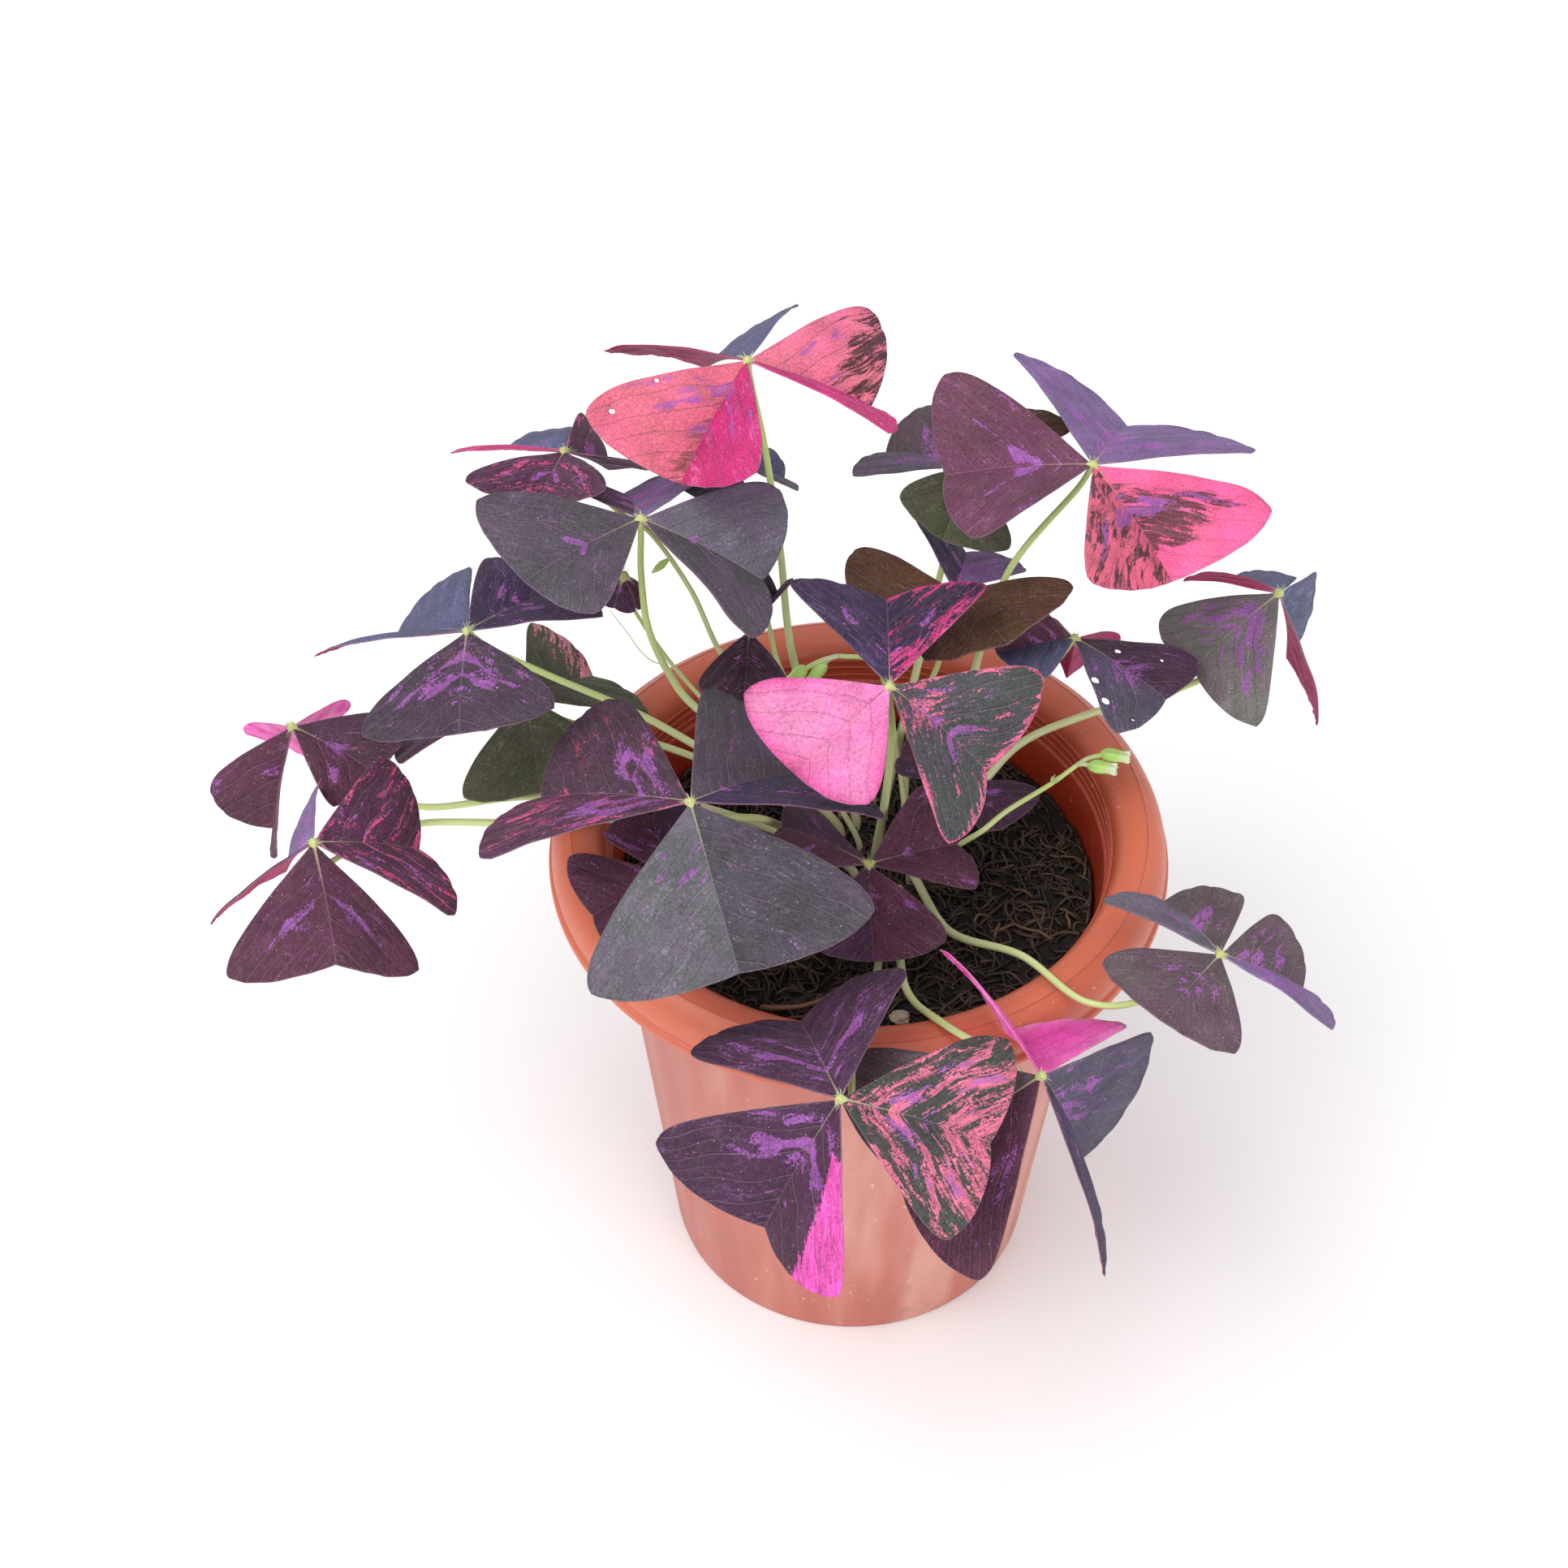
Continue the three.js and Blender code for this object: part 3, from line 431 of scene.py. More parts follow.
# The studio in metres: its floor's half width, the strength of its air, what its lights point at, and
# the camera with its turns about Z, X and its own axis in radians.
FLOOR_REACH = 3.0
AIR_STRENGTH = 0.86
LIT_POINT = (0, 0, 0.15)
CAMERA_PLACE = (0, -0.6744, 0.8591)
CAMERA_TURN = (0.027, math.pi / 2 - 0.807, 0.008)


# ------------------------------------------------------------------ settings


def size_setting(name, description, default):
    return bpy.props.FloatProperty(name=name, description=description, default=default, unit="LENGTH")


def colour_setting(name, description, default):
    return bpy.props.FloatVectorProperty(
        name=name, description=description, default=linear(default), size=4, subtype="COLOR"
    )


class PotSettings(bpy.types.PropertyGroup):
    """Sizes and colours of the moulded plastic pot."""

    base_radius: size_setting("Base radius", "Outside radius of the foot, in metres", 0.0455)
    neck_radius: size_setting(
        "Neck radius", "Outside radius of the wall under the collar, in metres", 0.0603
    )
    flutes: bpy.props.IntProperty(
        name="Flutes", description="Number of shallow flutes round the wall", default=24,
    )
    flute_depth: size_setting("Flute depth", "How far each flute is pulled in, in metres", 0.0005)
    # The deep red of the inside is painted shade laid over the unbleached plastic.
    inside_shade: colour_setting("Deep red", "Strong red of the unfaded inside below the collar", "#a2311a")
    plastic: colour_setting("Plastic", "Terracotta orange of the moulded plastic", "#cb694d")
    faded: colour_setting(
        "Faded plastic", "Dusty pink of the wall where water and light bleached it", "#c07466"
    )


class SoilSettings(bpy.types.PropertyGroup):
    """Sizes and colours of the potting mix."""

    radius: size_setting("Radius", "Radius of the soil's surface inside the wall, in metres", 0.0575)
    fibres: bpy.props.IntProperty(
        name="Fibres", description="Number of loose coir fibres and twigs", default=1900,
    )
    damp: colour_setting("Damp mix", "Near-black of the damp mix", "#211915")
    dry: colour_setting("Dry fibre", "Tan of the dried fibres", "#7d5d44")


class LeafSettings(bpy.types.PropertyGroup):
    """Sizes and colours shared by all the leaves."""

    thickness: size_setting("Thickness", "Thickness of a blade, in metres", 0.0005)
    hub_radius: size_setting(
        "Joint radius", "Radius of the joint where three leaflets meet, in metres", 0.0015
    )
    joint_hairs: bpy.props.IntProperty(
        name="Joint hairs", description="Number of short hairs round each joint", default=26,
    )
    joint: colour_setting("Joint", "Pale yellow green of the joint", "#c3c884")
    lilac: colour_setting("Lilac", "Lilac of the patches beside the midrib", "#9a58a4")


class StalkSettings(bpy.types.PropertyGroup):
    """Sizes and colours of the leaf stalks and flower stalks."""

    foot_radius: size_setting("Foot radius", "Radius where the stalk leaves the soil, in metres", 0.00115)
    tip_radius: size_setting("Tip radius", "Radius under the leaf, in metres", 0.00072)
    fresh: colour_setting("Fresh green", "Green of the upper stalk", "#c1d786")
    blanched: colour_setting("Blanched", "Whitish green of the shaded foot", "#d6d8ae")


class StudioSettings(bpy.types.PropertyGroup):
    """Floor, lights and camera of the studio."""

    floor: colour_setting("Floor", "Pale grey-white of the floor", "#f6f5f4")
    key_power: bpy.props.FloatProperty(
        name="Key light", description="Power of the large soft light overhead, in watts",
        default=15.0, unit="POWER",
    )
    fill_power: bpy.props.FloatProperty(
        name="Fill light", description="Power of the soft light from the front, in watts",
        default=5.0, unit="POWER",
    )
    lens: bpy.props.FloatProperty(
        name="Lens", description="Focal length of the camera, in millimetres", default=93.92, unit="CAMERA",
    )


# ------------------------------------------------------------------ shared helpers

# The property that the second word of a node's kind sets.
NODE_MODES = {
    "Math": "operation", "VectorMath": "operation", "Mix": "data_type",
    "MapRange": "interpolation_type", "TexVoronoi": "feature",
}


def add_node(tree, kind, *values, out=0, **named):
    """Adds a node and returns one of its outputs, or all of them for None. Values fill its live inputs
    in order, capitalised names are inputs and the others properties. Sockets are linked."""
    kind, *mode = kind.split()
    made = tree.nodes.new(f"ShaderNode{kind}")
    if mode:
        setattr(made, NODE_MODES[kind], mode[0])
    inputs = list(zip((socket for socket in made.inputs if socket.enabled), values))
    for name, value in named.items():
        if name[0].isupper():
            inputs.append((made.inputs[name.replace("_", " ")], value))
        else:
            setattr(made, name, value)
    for socket, value in inputs:
        if isinstance(value, bpy.types.NodeSocket):
            tree.links.new(value, socket)
        else:
            socket.default_value = linear(value) if isinstance(value, str) else value
    if isinstance(out, str):
        return made.outputs[out]
    outputs = [socket for socket in made.outputs if socket.enabled]
    return outputs if out is None else outputs[out]


def new_material(name):
    """An empty material and the function that adds nodes to it."""
    material = bpy.data.materials.new(name)
    material.use_nodes = True
    material.node_tree.nodes.clear()
    return material, functools.partial(add_node, material.node_tree)


def covered(material, **skin):
    """Closes a material with its skin."""
    shader = add_node(material.node_tree, "BsdfPrincipled", **skin)
    add_node(material.node_tree, "OutputMaterial", shader, out=None)
    return material


def laid_over(node, colour, *layers):
    """Lays further colours over a colour, each by its own share."""
    for share, over in layers:
        colour = node("Mix RGBA", share, colour, over)
    return colour


def mixed(a, b, share):
    return a + (b - a) * share


def angles(count):
    return [2 * math.pi * k / count for k in range(count)]


def ring_faces(rings, sides, first=0):
    """Faces between neighbouring rings of points."""
    for i in range(rings - 1):
        for k in range(sides):
            a = first + i * sides + k
            b = first + i * sides + (k + 1) % sides
            yield a, b, b + sides, a + sides


class Shape:
    """Points (mm) and faces of a piece, with the height of each point and the material of each face."""

    def __init__(self, points=(), faces=()):
        self.points, self.faces, self.heights, self.materials = [*points], [*faces], [], []

    def add_tube(self, line, foot_radius, tip_radius, sides, tone=None, material=0):
        """Adds a closed tapered tube along a line. Its heights are shares of the way up, or one tone."""
        lengths = [0]
        for a, b in zip(line, line[1:]):
            lengths.append(lengths[-1] + (b - a).length)
        base = len(self.points)
        side = Vector((1, 0, 0))
        for i, centre in enumerate(line):
            tangent = (line[min(len(line) - 1, i + 1)] - line[max(0, i - 1)]).normalized()
            side = (side - tangent * side.dot(tangent)).normalized()
            other = tangent.cross(side)
            share = lengths[i] / lengths[-1]
            radius = mixed(foot_radius, tip_radius, share)
            for angle in angles(sides):
                self.points.append(centre + (side * math.cos(angle) + other * math.sin(angle)) * radius)
            self.heights += [share if tone is None else tone] * sides
        self.faces += ring_faces(len(line), sides, base)
        self.faces.append(tuple(reversed(range(base, base + sides))))
        self.faces.append(tuple(range(len(self.points) - sides, len(self.points))))
        self.materials += [material] * (len(self.faces) - len(self.materials))

    def add_turned(self, base, axis, length, profile, sides, teeth=0, material=0):
        """Adds a turned body along an axis, with soft lobes that end in teeth (mm)."""
        line = [base + axis * (length * along) for along, _ in profile]
        index = len(self.points)
        self.add_tube(line, 1, 1, sides, material=material)
        for centre, (along, radius) in zip(line, profile):
            for angle in angles(sides):
                lobe = math.cos(LOBES * angle)
                tooth = axis * (teeth * lobe * max(0, along - TEETH_FROM) / (1 - TEETH_FROM))
                outward = (self.points[index] - centre) * radius * (1 + LOBE_DEPTH * lobe)
                self.points[index] = centre + outward + tooth
                self.heights[index] = along
                index += 1


def icosphere(radius):
    """A finely divided ball."""
    ball = bmesh.new()
    bmesh.ops.create_icosphere(ball, subdivisions=3, radius=radius)
    shape = Shape(
        [vertex.co.copy() for vertex in ball.verts],
        [[vertex.index for vertex in face.verts] for face in ball.faces],
    )
    ball.free()
    return shape


def new_piece(name, shape, materials, smooth=True):
    """A mesh object of a shape, riding on the row's one body."""
    mesh = bpy.data.meshes.new(name)
    mesh.from_pydata([Vector(point) * MM for point in shape.points], [], shape.faces)
    for material in materials:
        mesh.materials.append(material)
    if smooth:
        mesh.shade_smooth()
    if shape.materials:
        mesh.polygons.foreach_set("material_index", shape.materials)
    if shape.heights:
        mesh.attributes.new("height", "FLOAT", "POINT").data.foreach_set("value", shape.heights)
    piece = bpy.data.objects.new(name, mesh)
    bpy.context.scene.collection.objects.link(piece)
    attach(piece, "root")
    return piece


# ------------------------------------------------------------------ leaf shapes


def leaflet_frame(heading, pitch, twist=0):
    """Directions along the midrib, across to the left wing, and out of the upper face."""
    heading, pitch, twist = (math.radians(angle) for angle in (heading, pitch, twist))
    along = Vector(
        (math.cos(pitch) * math.cos(heading), math.cos(pitch) * math.sin(heading), math.sin(pitch))
    )
    level = Vector((-math.sin(heading), math.cos(heading), 0))
    across = level * math.cos(twist) + along.cross(level) * math.sin(twist)
    return along, across, along.cross(across)


def bezier(handles, t):
    s = 1 - t
    weights = (s**3, 3 * s * s * t, 3 * s * t * t, t**3)
    return tuple(sum(w * h[axis] for w, h in zip(weights, handles)) for axis in (0, 1))


def flat_point(bulge, u, v):
    """Place on the flat half leaflet in midrib lengths: u from hub to far edge, v from midrib out."""
    outer_u = max(0, u - ROUND_FROM) / (1 - ROUND_FROM)
    outer_v = max(0, v - ROUND_FROM) / (1 - ROUND_FROM)
    u, v = u - ROUND_DEPTH * outer_v**2 * u, v - ROUND_DEPTH * outer_u**2 * v
    edge = bezier(SIDE_EDGE, u)
    far = bezier(FAR_EDGE, v)
    far_x = mixed(1 - v + v * CORNER[0], far[0], bulge)
    x = (1 - v) * u + v * edge[0] + u * (far_x - (1 - v) - v * CORNER[0])
    return x, v * edge[1] + u * (far[1] - v * CORNER[1])


def leaflet_point(leaflet, axes, place):
    """A point of the folded, arched leaflet, from its hub."""
    x, y, side, u, v = place
    reach = x * leaflet.length + NECK_START
    spread = y * leaflet.length * leaflet.width + NECK_HALF_WIDTH * v * (1 - u)
    share = min(1, y / CORNER[1])
    arch = MIDRIB_ARCH * math.sin(math.pi * min(1, x)) + WING_ARCH * 4 * share * (1 - share) * u
    own_fold = side < 0 and leaflet.right_fold is not None
    drop = math.radians(leaflet.right_fold if own_fold else leaflet.fold)
    along, across, normal = axes
    return (
        along * reach
        + across * (side * spread * math.cos(drop))
        + normal * (leaflet.length * arch - spread * math.sin(drop))
    )


def streak_share(where, share, x, y, edge):
    """Share of streaks at a place on the wing: x and y in midrib lengths, edge the mm to the margin."""
    if where == "rib":
        return share * 2.6 * math.exp(-((y / 0.11) ** 2)) * min(1, x * 2)
    if where == "far":
        return share * min(1.4, max(0, 3.2 * (x - 0.45) + 0.3 * (0.5 - y)))
    if where == "base":
        return share * 2.2 * math.exp(-(((x - 0.28) / 0.2) ** 2) - (y / 0.2) ** 2)
    if where == "patch":
        outward = y / max(0.05, x)
        return share * 1.9 * min(1, max(0, (outward + 0.35 * x - 0.66) * 5)) * min(1, max(0, 4 * x - 0.7))
    if where == "edge":
        base = 0.3 * math.exp(-(((x - 0.3) / 0.16) ** 2) - (y / 0.16) ** 2)
        return share * 0.9 + base + 0.5 * math.exp(-edge / 1.1) * min(1, 2 * x)
    if where == "inside":
        return share * 1.25 * (1 - math.exp(-((edge / 5.5) ** 2))) * min(1, 2.4 * (1.1 - x))
    return share


def lilac_share(share, x, y):
    """Share of lilac patches, which lie in an arrow head across the midrib."""
    arrow = math.exp(-(((x - 0.6 * y - 0.38) / 0.27) ** 2))
    return share * 1.3 * arrow * max(0, 1 - y / 0.95)


def vein_place(x, y, seed):
    """Where the vein through a place (mm, y signed) leaves the midrib: side veins lie at whole spacings."""
    wander = noise.noise(Vector((x * 0.09, y * 0.09, seed))) * VEIN_WANDER
    return x - VEIN_LEAN * abs(y) + wander * min(1, abs(y) / 5)


def open_holes(holes, points):
    """Draws the grid in round each hole; returns the grid places dropped and the rings around them."""
    dropped, rings = set(), []
    for wing, u, v, radius in holes:
        i = round(u * ROWS)
        j = COLUMNS + wing * round(COLUMNS * v ** (1 / CROWDING))
        steps = ((-1, -1), (-1, 0), (-1, 1), (0, 1), (1, 1), (1, 0), (1, -1), (0, -1))
        ring = [(i + di) * ACROSS + j + dj for di, dj in steps]
        for index in ring:
            centre = points[i * ACROSS + j]
            points[index] = centre + (points[index] - centre).normalized() * radius
        dropped.add((i, j))
        rings.append((ring, wing))
    return dropped, rings


def around(loop):
    """Pairs of neighbours round a closed loop."""
    return zip(loop, loop[1:] + loop[:1])


class Blade(Shape):
    """Three leaflets and their joint, with what the coats need at every corner of a face."""

    def __init__(self, leaf):
        super().__init__()
        self.hub, self.leaflets = leaf.hub, leaf.leaflets
        self.layers = {key: [] for key in LAYERS}

    def add_leaflet(self, leaflet, holes, half_thickness, seed):
        axes = leaflet_frame(leaflet.heading, leaflet.pitch, leaflet.twist)
        shares = [(j / COLUMNS) ** CROWDING for j in range(COLUMNS + 1)]
        columns = [(-1, v) for v in reversed(shares[1:])] + [(1, v) for v in shares]
        points, places = [], []
        for i in range(ROWS + 1):
            u = i / ROWS
            for side, v in columns:
                x, y = flat_point(leaflet.bulge, u, v)
                point = leaflet_point(leaflet, axes, (x, y, side, u, v))
                ripple = noise.noise(point * RIPPLE_SCALE + Vector((seed, 0, 0)))
                vein = vein_place(x * leaflet.length, side * y * leaflet.length, seed)
                blister = abs(math.sin(math.pi * vein / VEIN_SPACING)) ** 0.6 * min(1, y * 5)
                rise = min(1, x * 3) * (RIPPLE * ripple * min(1, 2 * y) + BLISTER * (blister - 0.6))
                points.append(point + axes[2] * rise)
                places.append((x, y, side, u, v, vein))
        dropped, rings = open_holes(holes, points)
        normals = []
        for i in range(ROWS + 1):
            for j in range(ACROSS):
                along = points[min(ROWS, i + 1) * ACROSS + j] - points[max(0, i - 1) * ACROSS + j]
                right = points[i * ACROSS + min(ACROSS - 1, j + 1)] - points[i * ACROSS + max(0, j - 1)]
                normals.append(along.cross(right).normalized())
        base, half = len(self.points), len(points)
        for direction in (1, -1):
            for point, normal, (_, _, _, u, v, _) in zip(points, normals, places):
                taper = 1 - RIM_THINNING * max(u, v) ** 8
                self.points.append(self.hub + point + normal * (direction * half_thickness * taper))
        coats = leaflet.coats.split()
        if len(coats) < 4:
            coats = [coats[0], coats[-2], coats[-1], coats[-1]]

        def add_face(loop, wing, material=0):
            self.faces.append([base + index for index in loop])
            self.materials.append(material)
            for index in loop:
                is_under = index >= half
                coat = COATS[coats[(wing < 0) + 2 * is_under]]
                self.add_corner(leaflet, coat, is_under, seed, places[index % half])

        for i in range(ROWS):
            for j in range(ACROSS - 1):
                if dropped & {(i, j), (i, j + 1), (i + 1, j), (i + 1, j + 1)}:
                    continue
                wing = -1 if j < COLUMNS else 1
                a = i * ACROSS + j
                b = a + ACROSS
                add_face((a, b, b + 1, a + 1), wing)
                add_face((half + a, half + a + 1, half + b + 1, half + b), wing, 1)
        rim = [*range(ACROSS), *range(2 * ACROSS - 1, half, ACROSS)]
        rim += [*range(half - 2, half - ACROSS - 1, -1), *range(half - 2 * ACROSS, 0, -ACROSS)]
        for a, b in around(rim):
            wing = -1 if a % ACROSS + b % ACROSS < 2 * COLUMNS else 1
            add_face((a, b, half + b, half + a), wing)
        for ring, wing in rings:
            for a, b in around(ring):
                add_face((b, a, half + a, half + b), wing)

    def add_corner(self, leaflet, coat, is_under, seed, place):
        """Records what the coats need at one corner of a face."""
        x, y, side, u, v, vein = place
        out = y * leaflet.length * leaflet.width
        edge = min((1 - u) * leaflet.length, (1 - v) * leaflet.length * leaflet.width * 0.7 * max(0.05, x))
        ground, streak = linear(coat.ground), linear(coat.streak)
        if coat.where == "blush":
            blush = math.exp(-edge / 3.5) * min(1, 1.6 * x)
            ground = tuple(mixed(a, b, blush) for a, b in zip(ground, streak))
        lilac = 0 if is_under else lilac_share(coat.lilac, x, y)
        self.layers["flat"] += x * leaflet.length, side * out
        self.layers["veins"] += vein, out
        self.layers["ground"] += ground
        self.layers["streak"] += streak
        self.layers["marks"] += streak_share(coat.where, coat.share, x, y, edge), lilac, seed
        self.layers["place"] += x, y, edge

    def add_joint(self, radius):
        """Adds the swollen joint: a small ball drawn out a little towards each leaflet."""
        ball = icosphere(radius)
        base = len(self.points)
        axes = [leaflet_frame(leaflet.heading, leaflet.pitch)[0] for leaflet in self.leaflets]
        for point in ball.points:
            outward = point.normalized()
            pull = max(outward.dot(axis) for axis in axes)
            self.points.append(self.hub + outward * radius * mixed(*JOINT_SWELLING, max(0, pull) ** 5))
        self.faces += [[base + index for index in face] for face in ball.faces]
        self.materials += [2] * len(ball.faces)
        for key, (_, _, plain) in LAYERS.items():
            self.layers[key] += plain * (3 * len(ball.faces))

    def make_piece(self, name, materials):
        """The leaf as one mesh with its coats stored on its corners."""
        piece = new_piece(name, self, materials)
        for key, (kind, field, _) in LAYERS.items():
            if kind == "UV":
                layer = piece.data.uv_layers.new(name=key)
            else:
                layer = piece.data.attributes.new(key, kind, "CORNER")
            layer.data.foreach_set(field, self.layers[key])
        return piece


# ------------------------------------------------------------------ stalk shapes


def curve_through(points, steps_each=24):
    """Centripetal Catmull-Rom curve through points, finely sampled."""
    points = [Vector(point) for point in points]
    ends = [points[0] * 2 - points[1], *points, points[-1] * 2 - points[-2]]
    line = []
    for p0, p1, p2, p3 in zip(ends, ends[1:], ends[2:], ends[3:]):
        t1 = max(1e-6, (p1 - p0).length) ** 0.5
        t2 = t1 + max(1e-6, (p2 - p1).length) ** 0.5
        t3 = t2 + max(1e-6, (p3 - p2).length) ** 0.5
        for step in range(steps_each):
            t = mixed(t1, t2, step / steps_each)
            middle = p1.lerp(p2, (t - t1) / (t2 - t1))
            before = p0.lerp(p1, t / t1).lerp(middle, t / t2)
            after = middle.lerp(p2.lerp(p3, (t - t2) / (t3 - t2)), (t - t1) / (t3 - t1))
            line.append(before.lerp(after, (t - t1) / (t2 - t1)))
    return [*line, points[-1]]


def stalk_line(foot, via, tip):
    """Centre line of a stalk, straight up out of the soil and then through its own points."""
    return curve_through([(*foot, SOIL_HEIGHT - 3), (*foot, SOIL_HEIGHT + 3), *via, tip])


def clear_direction(name, leaf):
    """Direction in which the stalk leaves the hub, turned away from the leaflets beside it."""
    if name in LEAVING:
        return leaflet_frame(*LEAVING[name])[0]
    direction = ((Vector(leaf.via[-1]) - leaf.hub).normalized() + Vector((0, 0, -0.3))).normalized()
    for _ in range(CLEARING_TURNS):
        for leaflet in leaf.leaflets:
            along = leaflet_frame(leaflet.heading, leaflet.pitch)[0]
            excess = direction.dot(along) - math.cos(CLEAR_ANGLE)
            if excess > 0:
                direction = (direction - along * excess).normalized()
    return direction


# ------------------------------------------------------------------ materials


def leaf_layers(node):
    """Places by the veins and on the flat leaflet, and the colours of its ground and streaks."""
    yield from (node("UVMap", uv_map=name) for name in ("veins", "flat"))
    yield from (node("Attribute", attribute_name=name) for name in ("ground", "streak"))


def leaf_upper_material(settings):
    """Living oxalis leaf, upper face: a matt, faintly felted skin that greys at a low angle, with
    jagged streaks along the veins, lilac patches by the midrib and a thin pale margin."""
    material, node = new_material("oxalis_leaf_upper_felted")
    veins, flat, ground, streak = leaf_layers(node)
    marks, place = (
        node("SeparateXYZ", node("Attribute", attribute_name=name, out="Vector"), out=None)
        for name in ("marks", "place")
    )
    along, off_rib, _ = node("SeparateXYZ", veins, out=None)
    # Each leaflet cuts its own slice of every noise.
    slice_at = node("CombineXYZ", 0, 0, marks[2])
    sliced = node("VectorMath ADD", flat, slice_at)
    # The felt's own grain of 0.2 mm, drawn at 0.6 mm so that it shows, which also frets every patch.
    felt = node("TexNoise", sliced, 1.6, 3, 0.85)

    # The patches are cells bounded by the small veins: long ones of 1.4 by 5 mm, fine ones of 0.5 by
    # 2 mm and broad ones of 2.5 by 4 mm, all frayed by up to 0.5 mm.
    frayed = node("TexNoise", sliced, 1.2, 3, 0.7, out="Color")
    frayed = node("VectorMath MULTIPLY_ADD", frayed, (1.1, 2.6, 0), veins)
    cells = []
    for stretch in ((0.7, 0.2, 0), (2.1, 0.5, 0), (0.4, 0.25, 0)):
        cell = node("VectorMath MULTIPLY_ADD", frayed, stretch, slice_at)
        cells.append(node("SeparateXYZ", node("TexVoronoi", cell, 1, out="Color"), out=None))
    long_cells, fine_cells, broad_cells = cells
    broad = node("TexNoise", node("VectorMath MULTIPLY_ADD", veins, (0.3, 0.1, 0), slice_at), 1, 3, 0.55)
    layers = []
    for number, main, main_part, fine_part in ((0, long_cells, 0.3, 0.2), (1, broad_cells, 0.56, 0.1)):
        value = node("Math MULTIPLY_ADD", main[number], main_part, broad)
        value = node("Math MULTIPLY_ADD", fine_cells[number], fine_part, value)
        value = node("Math MULTIPLY_ADD", felt, 0.7, value)
        limit = node("Math MULTIPLY_ADD", marks[number], -1, 1.35 + (main_part + fine_part) / 2)
        layers.append(node("MapRange SMOOTHSTEP", node("Math SUBTRACT", value, limit), -0.012, 0.02))
    streaked, lilac = layers

    # Broad cloudiness over some 9 mm, and a drift over some 14 mm between a purple and a greenish cast.
    cloud = node("MapRange", node("TexNoise", sliced, 0.11, 3), 0.3, 0.7, 0.8, 1.16)
    tone = node("Math MULTIPLY", cloud, node("MapRange", felt, 0.3, 0.7, 0.6, 1.42))
    drift = node("MapRange", node("TexNoise", sliced, 0.07, 4, 0.6), 0.38, 0.62)
    cast = node("Mix RGBA", drift, (1.12, 0.93, 1.12, 1), (0.97, 1.02, 0.95, 1))
    ground = node("VectorMath MULTIPLY", ground, cast)
    streak = node("VectorMath SCALE", streak, node("MapRange", fine_cells[2], 0, 1, 0.66, 1.25))
    lilac = node("Math MULTIPLY", lilac, node("MapRange", fine_cells[0], 0, 1, 0.6, 0.95))
    colour = laid_over(node, ground, (streaked, streak), (lilac, settings.lilac))
    colour = node("VectorMath SCALE", colour, tone)

    # Side veins 0.3 mm wide with a fork between them in the outer half of the wing, each a pale line
    # with a line of painted shade for its crease beside it, and a net of some 2 mm.
    outer = node("MapRange", place[1], 0.25, 0.5, 0, 0.6)
    drawn = []
    for offset in (0, 0.34):
        moved = node("Math ADD", along, offset)
        vein, fork = (
            node("MapRange SMOOTHSTEP", node("Math PINGPONG", moved, spacing), 0.06, 0.32, 1, 0)
            for spacing in (VEIN_SPACING / 2, VEIN_SPACING / 4)
        )
        drawn.append(node("Math MAXIMUM", vein, node("Math MULTIPLY", fork, outer)))
    creases, shadows = drawn
    net = node("VectorMath MULTIPLY_ADD", frayed, (0.5, 0.34, 0), slice_at)
    net = node("MapRange", node("TexVoronoi DISTANCE_TO_EDGE", net, 1), 0.01, 0.09, 0.4, 0)
    rib = node("MapRange SMOOTHSTEP", off_rib, 0.08, 0.34, 1, 0)
    lines = node("Math MAXIMUM", node("Math MAXIMUM", creases, net), rib)
    # Stray white hairs and specks of 0.2 mm, in a third of cells of 1.3 mm.
    distance, tint, _ = node("TexVoronoi", sliced, 0.75, out=None)
    near = node("MapRange", distance, 0.06, 0.11, 0.7, 0)
    chosen = node("Math GREATER_THAN", node("SeparateXYZ", tint), 0.66)
    # The midrib is pale green at the joint and gone two fifths of the way to the notch. The pale
    # margin of 0.15 mm is drawn a little wider so that it shows.
    colour = laid_over(
        node, colour,
        # Painted shade of the creases: the colour darkened towards half beside each vein.
        (node("Math MULTIPLY", shadows, 0.42), node("VectorMath SCALE", colour, 0.5)),
        (node("Math MULTIPLY", lines, 0.11), "#dcbcc8"),
        (node("Math MULTIPLY", rib, node("MapRange", place[0], 0, 0.42, 0.85, 0)), "#b3a883"),
        (node("MapRange", place[2], 0, 0.35, 0.22, 0), "#b9a0a8"),
        (node("Math MULTIPLY", near, chosen), "#d8cfd6"),
    )
    bump = node("Bump", 0.8, 0.00035, Height=node("Math MULTIPLY_ADD", lines, -0.8, felt))
    return covered(
        material, Base_Color=colour, Roughness=0.6, Specular_IOR_Level=0.14, Normal=bump,
        Sheen_Weight=0.02, Sheen_Roughness=0.4, Sheen_Tint="#e2e0ea",
    )


def leaf_under_material():
    """Living oxalis leaf, underside: smoother and glossier, with raised veins and a rosy cast."""
    material, node = new_material("oxalis_leaf_underside_smooth")
    veins, flat, ground, streak = leaf_layers(node)
    along, off_rib, _ = node("SeparateXYZ", veins, out=None)
    # Clouds of some 6 mm in the colour of the streaks, and raised veins 0.5 mm wide.
    cloud = node("MapRange", node("TexNoise", flat, 0.18, 3, 0.55), 0.4, 0.62)
    vein = node("MapRange SMOOTHSTEP", node("Math PINGPONG", along, VEIN_SPACING / 2), 0.1, 0.35, 1, 0)
    rib = node("MapRange SMOOTHSTEP", off_rib, 0.2, 0.6, 1, 0)
    lines = node("Math MAXIMUM", vein, rib)
    colour = laid_over(node, ground, (cloud, streak), (node("Math MULTIPLY", lines, 0.16), "#c98a9c"))
    bump = node("Bump", 0.4, 0.0002, Height=lines)
    return covered(material, Base_Color=colour, Roughness=0.5, Specular_IOR_Level=0.14, Normal=bump)


